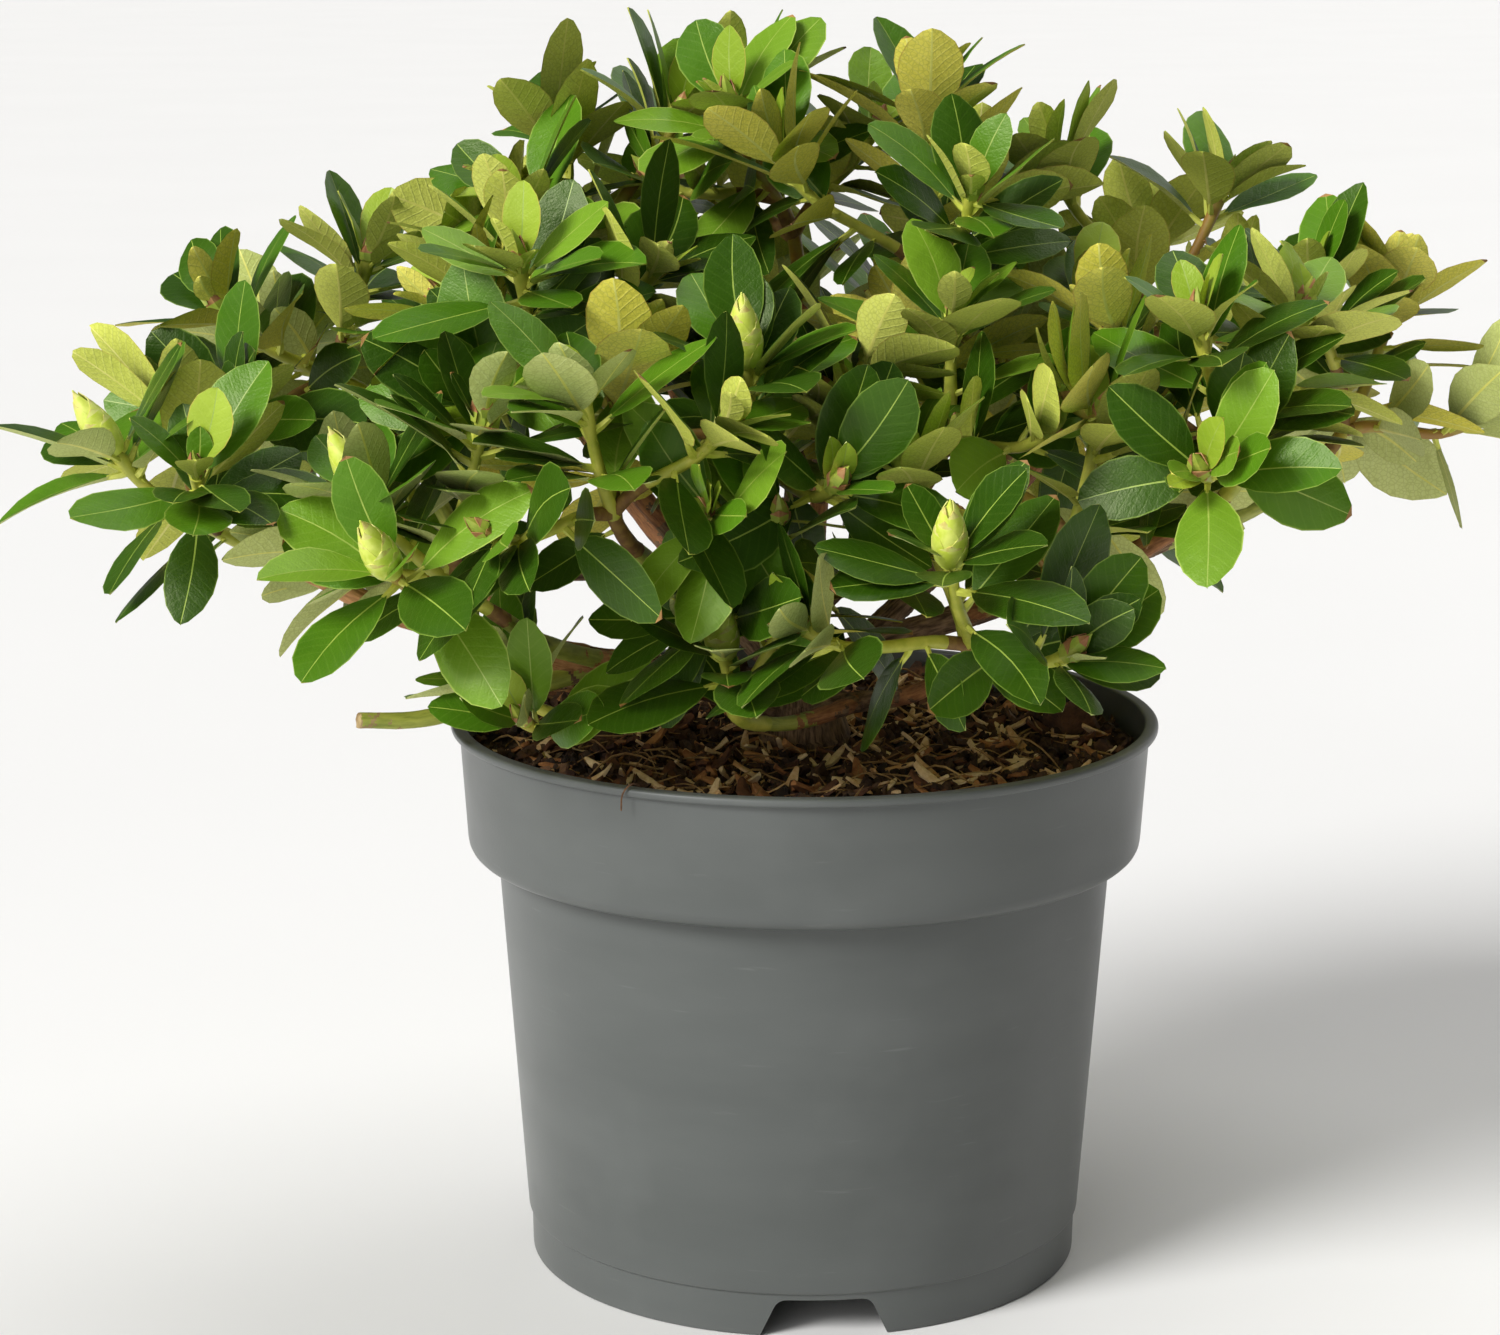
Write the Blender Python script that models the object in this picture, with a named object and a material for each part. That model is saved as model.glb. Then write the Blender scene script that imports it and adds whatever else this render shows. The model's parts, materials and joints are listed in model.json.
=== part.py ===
# A potted rhododendron: a low evergreen shrub, about 40 cm high, in a round plastic nursery pot.
# The trunk forks low over the soil, boughs fan out from it, and each bough ends in a mass of leafy
# shoots. Metres, +Z up, the origin on the floor under the middle of the crown and the pot.
import math
import random

import bmesh
import bpy
from mathutils import Vector
from mathutils.bvhtree import BVHTree

# Pot: one injection-moulded wall, with a collar that steps out and a lip round its top.
POT_HEIGHT = 0.179
LIP_RADIUS = 0.115
LIP_WIDTH = 0.0028
LIP_HEIGHT = 0.003
COLLAR_FOOT_RADIUS = 0.1096
COLLAR_FOOT_HEIGHT = 0.136
COLLAR_ROUNDING = 0.005
SHOULDER_RADIUS = 0.1003
SEAM_RADIUS = 0.0916
SEAM_HEIGHT = 0.0145
SKIRT_RADIUS = 0.0903
POT_WALL = 0.0016
POT_FLOOR = 0.002
POT_SIDES = 40

# Three notches in the skirt let the drain water out, and the first is seen in front.
NOTCH_COUNT = 3
NOTCH_BEARING = 273.5
NOTCH_HEIGHT = 0.0122
NOTCH_WIDTH_LOW = 0.040
NOTCH_WIDTH_TOP = 0.029
DRAIN_COUNT = 4
DRAIN_RADIUS = 0.005
DRAIN_CIRCLE = 0.066

# Soil: it fills the pot to a little under the rim.
SOIL_LEVEL = 0.168
SOIL_FLAT_RADIUS = 0.024
SOIL_BUMP = 0.003
SOIL_RINGS = 3
GAP = 0.0003

# Trunk: (height over the soil, radius) from the flat cut, through the flare, to the fork.
TRUNK_LEAN = Vector((-0.004, 0.003, 0.0))
TRUNK_PROFILE = ((0.0, 0.0145), (0.004, 0.0122), (0.010, 0.0104), (0.024, 0.0090), (0.046, 0.0076))
TRUNK_SIDES = 10
BOUGH_SIDES = 6
BOUGH_STEPS = 5
FORK_OUTWARD = 0.6
FORK_UPWARD = 0.45
FORK_SWEEP = 0.55
CURVE_PULL = 0.36
SMOOTH_ANGLE = 35

# Boughs: name, what carries it and where along it (0 root, 1 tip), the tip as bearing in degrees
# (0 is +X, 90 the back), reach and height in mm, root and tip radius in mm, and how far it arches
# up (or sags, under 0) as a share of its length.
BOUGHS = (
    ("left", "trunk", 0.26, 201, 170, 240, 6.4, 2.7, -0.05),
    ("left_front", "left", 0.30, 223, 126, 228, 3.6, 2.5, 0.02),
    ("left_high", "left", 0.50, 174, 130, 268, 3.4, 2.5, 0.05),
    ("left_low", "left", 0.16, 224, 86, 190, 3.0, 2.3, 0.00),
    ("pruned_stub", "left", 0.36, 204, 152, 191, 3.2, 2.6, -0.12),
    ("left_mid", "trunk", 0.62, 203, 80, 284, 4.8, 2.6, 0.10),
    ("front_left", "left_mid", 0.34, 240, 104, 250, 3.4, 2.5, 0.06),
    ("crown_left", "trunk", 0.93, 152, 58, 306, 4.6, 2.6, 0.04),
    ("crown_top", "trunk", 1.00, 92, 34, 312, 4.8, 2.6, 0.03),
    ("crown_right", "crown_top", 0.35, 350, 36, 300, 3.8, 2.5, 0.05),
    ("centre_front", "trunk", 0.56, 257, 56, 256, 4.2, 2.5, 0.06),
    ("mid_front", "centre_front", 0.30, 266, 60, 222, 3.2, 2.4, 0.00),
    ("red", "trunk", 0.84, 309, 58, 262, 4.4, 2.5, 0.04),
    ("front", "trunk", 0.22, 300, 86, 208, 4.2, 2.5, 0.02),
    ("low_front", "front", 0.40, 259, 72, 192, 3.0, 2.3, 0.03),
    ("right", "trunk", 0.52, 333, 138, 258, 5.2, 2.9, -0.03),
    ("right_mid", "right", 0.42, 318, 96, 236, 3.2, 2.4, -0.02),
    ("right_far", "right", 0.78, 2, 160, 256, 3.2, 2.6, -0.02),
    ("back_right", "trunk", 0.30, 28, 108, 276, 4.8, 2.6, 0.03),
    ("back", "trunk", 0.56, 84, 84, 260, 4.8, 2.6, 0.03),
    ("back_left", "trunk", 0.36, 137, 100, 260, 4.8, 2.6, 0.03),
    ("inner_right", "back_right", 0.40, 10, 66, 262, 3.4, 2.4, 0.02),
    ("back_low_left", "back_left", 0.45, 160, 112, 222, 3.2, 2.4, 0.00),
    ("back_low_right", "back", 0.42, 50, 104, 222, 3.2, 2.4, 0.00),
)

# Masses: the bough that carries it, the tip of its leading shoot as bearing, reach and height, how
# far its other shoots lean away from the leader in degrees, how many shoots it has, the turn of
# the others about the leader in degrees, how far its outer leaves lie back from the stem in
# degrees, how many shoots end in a fat flower bud, and its seed.
MASSES = (
    ("left", 200, 221, 276, 40, 3, 250, 86, 1, 1),
    ("left_front", 217, 167, 270, 40, 4, 62, 84, 2, 2),
    ("left_high", 176, 188, 311, 42, 4, 300, 84, 0, 3),
    ("left_low", 217, 116, 206, 36, 2, 60, 80, 0, 4),
    ("left_mid", 219, 112, 330, 44, 5, 230, 86, 0, 5),
    ("front_left", 241, 137, 298, 46, 4, 20, 84, 0, 6),
    ("crown_left", 148, 98, 362, 42, 5, 30, 86, 0, 7),
    ("crown_top", 113, 55, 380, 40, 5, 10, 86, 0, 8),
    ("crown_right", 0, 38, 375, 42, 4, 0, 54, 0, 9),
    ("centre_front", 258, 92, 306, 48, 5, 90, 84, 1, 10),
    ("mid_front", 264, 102, 262, 44, 3, 40, 84, 0, 22),
    ("red", 305, 76, 314, 48, 4, 320, 80, 0, 11),
    ("front", 287, 136, 253, 40, 4, 293, 80, 2, 12),
    ("low_front", 257, 108, 221, 40, 2, 330, 70, 1, 13),
    ("right", 322, 147, 315, 44, 5, 210, 76, 0, 14),
    ("right_mid", 318, 114, 284, 42, 3, 262, 80, 0, 15),
    ("right_far", 12, 200, 310, 40, 4, 172, 70, 0, 16),
    ("back_right", 22, 150, 342, 42, 5, 42, 70, 0, 17),
    ("inner_right", 4, 88, 312, 46, 4, 20, 84, 0, 23),
    ("back", 90, 124, 306, 46, 4, 0, 82, 1, 18),
    ("back_left", 138, 140, 308, 44, 5, 40, 82, 0, 19),
    ("back_low_left", 164, 160, 252, 40, 3, 0, 80, 1, 20),
    ("back_low_right", 44, 148, 256, 40, 3, 80, 80, 1, 21),
)

# Shoots: green stems that end in a whorl of leaves round a bud.
SHOOT_SIDES = 3
SHOOT_STEPS = 4
SHOOT_ROOT_RADIUS = 0.0026
SHOOT_TIP_RADIUS = 0.0016
SHOOT_KNEE = 0.003
SHOOT_SWELL = 1.15
SHOOT_REACH = (0.82, 1.04)
SHOOT_FORK = (0.22, 0.42)
SHOOT_UPTURN = 0.75
SHOOT_WANDER = 0.002
SHOOT_TRIES = 10

# Leaves: a few up the stem, then the whorl, spaced back from the shoot's tip.
STEM_LEAVES = (1, 2)
STEM_LEAF_START = 0.014
STEM_LEAF_STEP = 0.010
WHORL_LEAVES = (5, 6)
WHORL_DEPTH = 0.011
WHORL_TOP = 0.0015
WHORL_CLOSING = 34
LEAF_TURN = 137.5
LEAF_LENGTH = (0.040, 0.051)
LEAF_WIDTH = 0.47
LEAF_WIDEST = 0.58
LEAF_THICKNESS = 0.0012
LEAF_DROOP = (0.03, 0.14)
LEAF_FOLD = 0.05
LEAF_ROOT_DEPTH = 0.0008
LEAF_TO_LIGHT = 0.16
LEAF_FACE_UP = 0.45
LEAF_SKIRT = 0.25
FLOWER_BUD_LENGTH = 0.024
FLOWER_BUD_RADIUS = 0.0056
FLOWER_BUD_SIDES = 5

# Room kept round the pieces as they are placed. A leaf's guard leaves out the part by its root,
# which sits in the stem among the roots of its neighbours.
LIMB_ROOM = 0.0006
SHOOT_ROOM = 0.0005
SHOOT_CLEARANCE = 0.0009
LEAF_ROOM = 0.0004
GUARD_START = 0.30
GUARD_THICKNESS = 0.0028

# Where a leaf goes in place of its own spot when that is taken: turn and lift in degrees.
LEAF_NUDGES = ((0, 0), (20, 0), (-20, 0), (0, -14), (36, -8), (-36, -8), (52, 6))


def polar(bearing, reach, height):
    angle = math.radians(bearing)
    return Vector((reach * math.cos(angle), reach * math.sin(angle), height))


def curve_points(start, start_way, end, end_way, steps):
    """Points of a smooth curve that leaves start and arrives at end along the given ways."""
    pull = (end - start).length * CURVE_PULL
    a, b = start + start_way.normalized() * pull, end - end_way.normalized() * pull
    points = []
    for i in range(steps + 1):
        t = i / steps
        u = 1 - t
        points.append(start * u**3 + a * 3 * u * u * t + b * 3 * u * t * t + end * t**3)
    return points


def at_share(points, share):
    """(point, way) at a share of a polyline's length."""
    lengths = [(b - a).length for a, b in zip(points, points[1:])]
    left = share * sum(lengths)
    for a, b, length in zip(points, points[1:], lengths):
        if left <= length:
            return a.lerp(b, left / length), (b - a).normalized()
        left -= length
    return points[-1].copy(), (points[-1] - points[-2]).normalized()


def across(way):
    """Two unit vectors square to way and to each other."""
    side = way.cross(Vector((0, 0, 1)))
    if side.length < 0.05:
        side = way.cross(Vector((0, 1, 0)))
    side.normalize()
    return side, side.cross(way).normalized()


def tube(points, radii, sides):
    """Vertices and faces of a closed tube round a polyline, with flat ends."""
    vertices, faces = [], []
    side = None
    for i, point in enumerate(points):
        before, after = points[max(i - 1, 0)], points[min(i + 1, len(points) - 1)]
        way = (after - before).normalized()
        if side is None:
            side, _ = across(way)
        side = (side - way * side.dot(way)).normalized()
        other = side.cross(way)
        for k in range(sides):
            angle = 2 * math.pi * k / sides
            vertices.append(point + (side * math.cos(angle) + other * math.sin(angle)) * radii[i])
    for i in range(len(points) - 1):
        for k in range(sides):
            a, b = i * sides + k, i * sides + (k + 1) % sides
            faces.append((a, a + sides, b + sides, b))
    last = (len(points) - 1) * sides
    faces.append(tuple(range(sides)))
    faces.append(tuple(last + k for k in reversed(range(sides))))
    return vertices, faces


def sleeve(points, radii, sides):
    """A tube a little wider and longer than the one given, to cut a neighbour clear of it."""
    ends = [points[0] - (points[1] - points[0]).normalized() * GAP]
    ends.append(points[-1] + (points[-1] - points[-2]).normalized() * GAP)
    longer = [ends[0]] + points[1:-1] + [ends[1]]
    return tube(longer, [r + GAP * 1.3 for r in radii], sides)


def tapered(root, tip, steps):
    return [root + (tip - root) * i / steps for i in range(steps + 1)]


def leaf_shape(leaf, grow=0.0, start=0.0, thickness=LEAF_THICKNESS):
    """A leaf of six faces: its root, sides and tip, and the keel of its midrib below them."""
    way, up = leaf["way"], leaf["up"]
    side = way.cross(up)
    length = leaf["length"] + grow
    half = leaf["width"] / 2 + grow
    middle = leaf["root"] + way * length * max(LEAF_WIDEST, start + 0.25)
    root = leaf["root"] + way * (length * start - grow)
    tip = leaf["root"] + way * length - up * leaf["droop"]
    rim = middle + up * (leaf["fold"] + grow)
    keel = middle - up * (thickness + grow)
    vertices = [root, rim + side * half, tip, rim - side * half, keel]
    faces = [(0, 1, 3), (1, 2, 3), (1, 0, 4), (2, 1, 4), (3, 2, 4), (0, 3, 4)]
    return vertices, faces


def bud_shape(bud):
    """A pointed bud: a narrow foot, its fattest ring a third of the way up, and a tip."""
    foot, way, length, radius = bud["foot"], bud["way"], bud["length"], bud["radius"]
    shares, widths = (-0.12, 0.36, 0.72, 1.0), (0.34, 1.0, 0.62, 0.06)
    points = [foot + way * length * share for share in shares]
    return tube(points, [radius * width for width in widths], FLOWER_BUD_SIDES)


class Space:
    """Everything that is placed already, so that a new piece can be kept clear of it."""

    def __init__(self):
        self.things = []

    def add(self, owner, solid, guard=None):
        centre = sum(solid[0], Vector()) / len(solid[0])
        radius = max((v - centre).length for v in solid[0])
        trees = [BVHTree.FromPolygons(*shape) if shape else None for shape in (solid, guard)]
        self.things.append((owner, centre, radius, *trees))

    def is_free(self, owner, solid, guard=None):
        """False where solid meets another owner's thing, or guard meets anything guarded."""
        centre = sum(solid[0], Vector()) / len(solid[0])
        radius = max((v - centre).length for v in solid[0])
        tree = BVHTree.FromPolygons(*solid)
        guard_tree = BVHTree.FromPolygons(*guard) if guard else None
        for other, place, size, their_tree, their_guard in self.things:
            if (place - centre).length > size + radius:
                continue
            if other != owner and tree.overlap(their_tree):
                return False
            if guard_tree and guard_tree.overlap(their_guard or their_tree):
                return False
        return True


def limb_name(carrier):
    return carrier if carrier == "trunk" else "bough_" + carrier


def grow_limbs():
    """The trunk and the boughs, each as its centreline, its radii, its sides and its carrier."""
    foot = Vector((0, 0, SOIL_LEVEL + GAP))
    flare, top = TRUNK_PROFILE[1][0], TRUNK_PROFILE[-1][0]
    points = [foot + Vector((0, 0, h)) + TRUNK_LEAN * (max(h - flare, 0) / top)
              for h, _ in TRUNK_PROFILE]
    limbs = {"trunk": (points, [r for _, r in TRUNK_PROFILE], TRUNK_SIDES, None)}
    for name, carrier, share, bearing, reach, height, root, tip, arch in BOUGHS:
        start, way = at_share(limbs[limb_name(carrier)][0], share)
        end = polar(bearing, reach * 0.001, height * 0.001)
        chord = end - start
        rise = Vector((0, 0, arch * chord.length))
        if carrier == "trunk":
            way = Vector((chord.x, chord.y, 0)).normalized() * FORK_OUTWARD
            way.z = FORK_UPWARD
        start_way = chord.normalized() + way * FORK_SWEEP + rise * 6
        end_way = chord.normalized() - rise * 5 + Vector((0, 0, 0.25))
        points = curve_points(start, start_way, end, end_way, BOUGH_STEPS)
        radii = tapered(root * 0.001, tip * 0.001, BOUGH_STEPS)
        limbs["bough_" + name] = (points, radii, BOUGH_SIDES, carrier)
    return limbs


def grow_shoots(name, limb, row, space, rng):
    """A mass's stems: a leader from the bough's tip, and shoots that fork off those before."""
    _, bearing, reach, height, opening, count, turn, _, _, _ = row
    points = limb[0]
    bough_way = (points[-1] - points[-2]).normalized()
    foot = points[-1] + bough_way * GAP
    axis = polar(bearing, reach * 0.001, height * 0.001) - foot
    length = axis.length
    axis.normalize()
    side, other = across(axis)
    shoots = []
    for i in range(count):
        spread = math.radians(opening) if shoots else 0.0
        angle = math.radians(turn + LEAF_TURN * i)
        radial = side * math.cos(angle) + other * math.sin(angle)
        for attempt in range(SHOOT_TRIES):
            wander = Vector([rng.uniform(-1, 1) for _ in range(3)]) * SHOOT_WANDER * (attempt + 1)
            reach = length * (rng.uniform(*SHOOT_REACH) if shoots else 1.0)
            tip = foot + (axis * math.cos(spread) + radial * math.sin(spread)) * reach + wander
            if shoots:
                carrier = min(shoots, key=lambda s: (s["points"][-1] - tip).length)
                start, way = at_share(carrier["points"], rng.uniform(*SHOOT_FORK))
            else:
                start, way = foot, bough_way
            chord = (tip - start).normalized()
            end_way = (chord + Vector((0, 0, SHOOT_UPTURN))).normalized()
            if shoots:
                path = curve_points(start, way * 0.6 + chord, tip, end_way, SHOOT_STEPS)
                root = SHOOT_ROOT_RADIUS * 0.86
            else:
                knee = foot + way * SHOOT_KNEE
                path = [foot] + curve_points(knee, way, tip, end_way, SHOOT_STEPS)
                root = SHOOT_ROOT_RADIUS
            radii = tapered(root, SHOOT_TIP_RADIUS, len(path) - 1)
            wide = tube(path[1:], [r + SHOOT_CLEARANCE for r in radii[1:]], SHOOT_SIDES)
            if space.is_free(name, wide):
                space.add(name, tube(path, [r + SHOOT_ROOM for r in radii], SHOOT_SIDES))
                shoots.append({"points": path, "radii": radii, "way": end_way})
                break
    return shoots


def make_leaf(start, axis, turn, lean, length, rng):
    """A leaf that leaves a stem at an angle of lean to its axis, with its upper face to the sky."""
    side, other = across(axis)
    radial = side * math.cos(turn) + other * math.sin(turn)
    way = axis * math.cos(lean) + radial * math.sin(lean)
    way = (way + Vector((0, 0, LEAF_TO_LIGHT))).normalized()
    up = axis * math.sin(lean) - radial * math.cos(lean) + Vector((0, 0, LEAF_FACE_UP))
    up = (up - way * up.dot(way)).normalized()
    droop = length * rng.uniform(*LEAF_DROOP)
    fold = length * rng.uniform(0.0, LEAF_FOLD)
    width = length * LEAF_WIDTH * rng.uniform(0.88, 1.12)
    root = start - way * LEAF_ROOT_DEPTH
    return {"root": root, "way": way, "up": up, "length": length, "width": width,
            "droop": droop, "fold": fold}


def grow_leaves(name, shoot, spread, space, rng):
    """Leaves up the stem, then a whorl round its tip: the lowest longest and lying widest."""
    leaves = []
    stem_count, whorl_count = rng.randint(*STEM_LEAVES), rng.randint(*WHORL_LEAVES)
    stem_length = sum((b - a).length for a, b in zip(shoot["points"], shoot["points"][1:]))
    turn = rng.uniform(0, 360)
    for i in range(stem_count + whorl_count):
        turn += LEAF_TURN
        rank = (i - stem_count) / max(whorl_count - 1, 1)
        if i < stem_count:
            behind = STEM_LEAF_START + STEM_LEAF_STEP * (stem_count - i)
            lean, size = spread + rng.uniform(-14, 6), rng.uniform(0.86, 1.05)
        else:
            behind = WHORL_TOP + WHORL_DEPTH * (1 - rank)
            lean = spread - WHORL_CLOSING * rank + rng.uniform(-8, 8)
            size = 1.0 - 0.34 * rank * rank
        share = 1 - behind / stem_length
        if share < 0.25:
            continue
        start, axis = at_share(shoot["points"], share)
        length = rng.uniform(*LEAF_LENGTH) * size
        for nudge, lift in LEAF_NUDGES:
            leaf = make_leaf(start, axis, math.radians(turn + nudge), math.radians(lean + lift),
                             length, rng)
            tip = leaf["root"] + leaf["way"] * length - leaf["up"] * leaf["droop"]
            if tip.z < SOIL_LEVEL - 0.004 + LEAF_SKIRT * math.hypot(tip.x, tip.y):
                continue
            solid = leaf_shape(leaf, LEAF_ROOM)
            guard = leaf_shape(leaf, 0.0, GUARD_START, GUARD_THICKNESS)
            if space.is_free(name, solid, guard):
                space.add(name, solid, guard)
                leaves.append(leaf)
                break
    return leaves


def grow_crown(limbs):
    """Each mass's shoots, leaves and buds, every piece clear of the limbs and the other masses."""
    space = Space()
    for name, (points, radii, sides, _) in limbs.items():
        space.add(name, tube(points, [r + LIMB_ROOM for r in radii], sides))
    space.add("pot", tube([Vector((0, 0, SOIL_LEVEL - 0.02)), Vector((0, 0, POT_HEIGHT + 0.001))],
                          [LIP_RADIUS, LIP_RADIUS + 0.001], POT_SIDES))
    crown = {}
    for row in MASSES:
        name = "foliage_" + row[0]
        rng = random.Random(row[-1])
        shoots = grow_shoots(name, limbs["bough_" + row[0]], row, space, rng)
        buds = [{"foot": s["points"][-1], "way": s["way"], "length": FLOWER_BUD_LENGTH,
                 "radius": FLOWER_BUD_RADIUS} for s in shoots[:row[8]]]
        for bud in buds:
            space.add(name, bud_shape(bud), bud_shape(bud))
        crown[name] = {"shoots": shoots, "buds": buds, "leaves": [], "spread": row[7], "rng": rng}
    for name, mass in crown.items():
        for shoot in mass["shoots"]:
            mass["leaves"] += grow_leaves(name, shoot, mass["spread"], space, mass["rng"])
    return crown


def clear_scene():
    for item in list(bpy.data.objects):
        bpy.data.objects.remove(item)


def make_material(name, colour, roughness, metallic=0.0):
    """A plain Principled material in the part's colour, given as linear red, green and blue."""
    material = bpy.data.materials.new(name)
    material.use_nodes = True
    shader = material.node_tree.nodes["Principled BSDF"]
    shader.inputs["Base Color"].default_value = (*colour, 1.0)
    shader.inputs["Roughness"].default_value = roughness
    shader.inputs["Metallic"].default_value = metallic
    material.diffuse_color = (*colour, 1.0)
    return material


def make_object(name, shape, material=None):
    mesh = bpy.data.meshes.new(name)
    mesh.from_pydata([tuple(v) for v in shape[0]], [], shape[1])
    mesh.validate()
    work = bmesh.new()
    work.from_mesh(mesh)
    bmesh.ops.recalc_face_normals(work, faces=work.faces)
    work.to_mesh(mesh)
    work.free()
    thing = bpy.data.objects.new(name, mesh)
    bpy.context.scene.collection.objects.link(thing)
    if material:
        mesh.materials.append(material)
    return thing


def combine(thing, others, operation, solver="EXACT"):
    """Joins others to thing, or cuts them out of it, as one Boolean, and removes them."""
    group = bpy.data.collections.new(thing.name + "_operands")
    bpy.context.scene.collection.children.link(group)
    for other in others:
        bpy.context.scene.collection.objects.unlink(other)
        group.objects.link(other)
    change = thing.modifiers.new("combine", "BOOLEAN")
    change.operation, change.solver = operation, solver
    change.operand_type, change.collection = "COLLECTION", group
    graph = bpy.context.evaluated_depsgraph_get()
    result = bpy.data.meshes.new_from_object(thing.evaluated_get(graph))
    thing.modifiers.clear()
    thing.data = result
    for other in others:
        bpy.data.objects.remove(other)
    bpy.data.collections.remove(group)


def shade_smooth(thing):
    """Round faces shade as one curve, with the corners sharper than SMOOTH_ANGLE kept."""
    thing.data.shade_smooth()
    thing.data.set_sharp_from_angle(angle=math.radians(SMOOTH_ANGLE))


def lathe(profile, sides, height_at=None):
    """A closed solid of revolution. The profile runs from the axis, round the outside, and back."""
    vertices, faces, rings = [], [], []
    for radius, height in profile:
        ring = []
        for k in range(sides if radius > 0 else 1):
            bearing = 2 * math.pi * k / sides
            lift = height_at(radius, height, bearing) if height_at else height
            vertices.append(Vector((radius * math.cos(bearing), radius * math.sin(bearing), lift)))
            ring.append(len(vertices) - 1)
        rings.append(ring)
    for low, high in zip(rings, rings[1:]):
        for k in range(sides):
            a, b = low[k % len(low)], low[(k + 1) % len(low)]
            c, d = high[(k + 1) % len(high)], high[k % len(high)]
            faces.append(tuple(dict.fromkeys((a, b, c, d))))
    return vertices, faces


def outer_profile():
    """The pot's outside from the foot of the skirt to the top of the lip, as (radius, height)."""
    collar_top = LIP_RADIUS - LIP_WIDTH
    lip_foot = POT_HEIGHT - LIP_HEIGHT
    low = COLLAR_FOOT_RADIUS
    return [
        (SKIRT_RADIUS, 0.0),
        (SEAM_RADIUS - 0.0008, SEAM_HEIGHT - 0.0006),
        (SEAM_RADIUS, SEAM_HEIGHT),
        (SHOULDER_RADIUS, COLLAR_FOOT_HEIGHT),
        (low - COLLAR_ROUNDING, COLLAR_FOOT_HEIGHT + 0.0004),
        (low - COLLAR_ROUNDING * 0.3, COLLAR_FOOT_HEIGHT + COLLAR_ROUNDING * 0.3),
        (low, COLLAR_FOOT_HEIGHT + COLLAR_ROUNDING),
        (collar_top, lip_foot),
        (LIP_RADIUS, lip_foot + 0.0004),
        (LIP_RADIUS, POT_HEIGHT - 0.0006),
        (LIP_RADIUS - 0.0006, POT_HEIGHT),
    ]


def inner_profile(clearance=0.0):
    """The inside of the wall from the rim down to the floor, drawn in by a clearance."""
    collar_top = LIP_RADIUS - LIP_WIDTH
    wall = POT_WALL + clearance
    shelf = COLLAR_FOOT_HEIGHT + POT_WALL + clearance
    return [
        (collar_top - wall, POT_HEIGHT),
        (COLLAR_FOOT_RADIUS - wall, shelf + COLLAR_ROUNDING),
        (COLLAR_FOOT_RADIUS - wall - COLLAR_ROUNDING * 0.6, shelf + 0.0003),
        (SHOULDER_RADIUS - wall, shelf),
        (SEAM_RADIUS - wall, SEAM_HEIGHT + POT_FLOOR + clearance),
    ]


def build_pot(material):
    skirt_inside = SKIRT_RADIUS - POT_WALL
    under = [(0.0, SEAM_HEIGHT), (skirt_inside - 0.0004, SEAM_HEIGHT), (skirt_inside, 0.0)]
    floor = [(0.0, SEAM_HEIGHT + POT_FLOOR)]
    pot = make_object("pot", lathe(under + outer_profile() + inner_profile() + floor, POT_SIDES),
                      material)
    cutters = [make_notch_cutter(k) for k in range(NOTCH_COUNT)]
    cutters += [make_drain_cutter(k) for k in range(DRAIN_COUNT)]
    combine(pot, cutters, "DIFFERENCE")
    shade_smooth(pot)


def make_notch_cutter(k):
    """A wedge that narrows upwards and runs out through the skirt."""
    way = polar(NOTCH_BEARING + 360 * k / NOTCH_COUNT, 1.0, 0.0)
    side = Vector((-way.y, way.x, 0))
    below = 0.004
    flare = (NOTCH_WIDTH_LOW - NOTCH_WIDTH_TOP) / NOTCH_HEIGHT
    outline = ((-below, NOTCH_WIDTH_LOW + flare * below), (NOTCH_HEIGHT, NOTCH_WIDTH_TOP))
    vertices = []
    for radius in (SKIRT_RADIUS * 0.8, SKIRT_RADIUS * 1.15):
        for height, width in outline:
            for sign in (-1, 1):
                vertices.append(way * radius + side * sign * width / 2 + Vector((0, 0, height)))
    faces = [(0, 1, 3, 2), (4, 6, 7, 5), (0, 4, 5, 1), (2, 3, 7, 6), (0, 2, 6, 4), (1, 5, 7, 3)]
    return make_object(f"notch_{k}", (vertices, faces))


def make_drain_cutter(k):
    centre = polar(360 * (k + 0.5) / DRAIN_COUNT, DRAIN_CIRCLE, 0.0)
    heights = (SEAM_HEIGHT - 0.002, SEAM_HEIGHT + POT_FLOOR + 0.002)
    points = [centre + Vector((0, 0, height)) for height in heights]
    return make_object(f"drain_{k}", tube(points, [DRAIN_RADIUS] * 2, 6))


def soil_height(radius, height, bearing):
    """Lifts the soil's top in low swells, apart from the flat place under the trunk."""
    if height != SOIL_LEVEL or radius <= SOIL_FLAT_RADIUS:
        return height
    swell = sum(math.sin(n * bearing + n * n + radius * 40) for n in (2, 3, 5))
    return height + SOIL_BUMP * swell / 3


def build_soil(material):
    """The root ball and its loose top, which fill the pot."""
    inside = inner_profile(GAP)
    rim, wall = inside[0], [corner for corner in inside if corner[1] < SOIL_LEVEL]
    share = (SOIL_LEVEL - wall[0][1]) / (rim[1] - wall[0][1])
    edge = wall[0][0] + (rim[0] - wall[0][0]) * share
    top = [(edge, SOIL_LEVEL - 0.0001)]
    for k in range(SOIL_RINGS - 1, -1, -1):
        radius = SOIL_FLAT_RADIUS + (edge - SOIL_FLAT_RADIUS) * k / SOIL_RINGS
        top.append((radius, SOIL_LEVEL))
    profile = [(0.0, wall[-1][1])] + wall[::-1] + top + [(0.0, SOIL_LEVEL)]
    make_object("soil", lathe(profile, POT_SIDES, soil_height), material)


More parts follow.
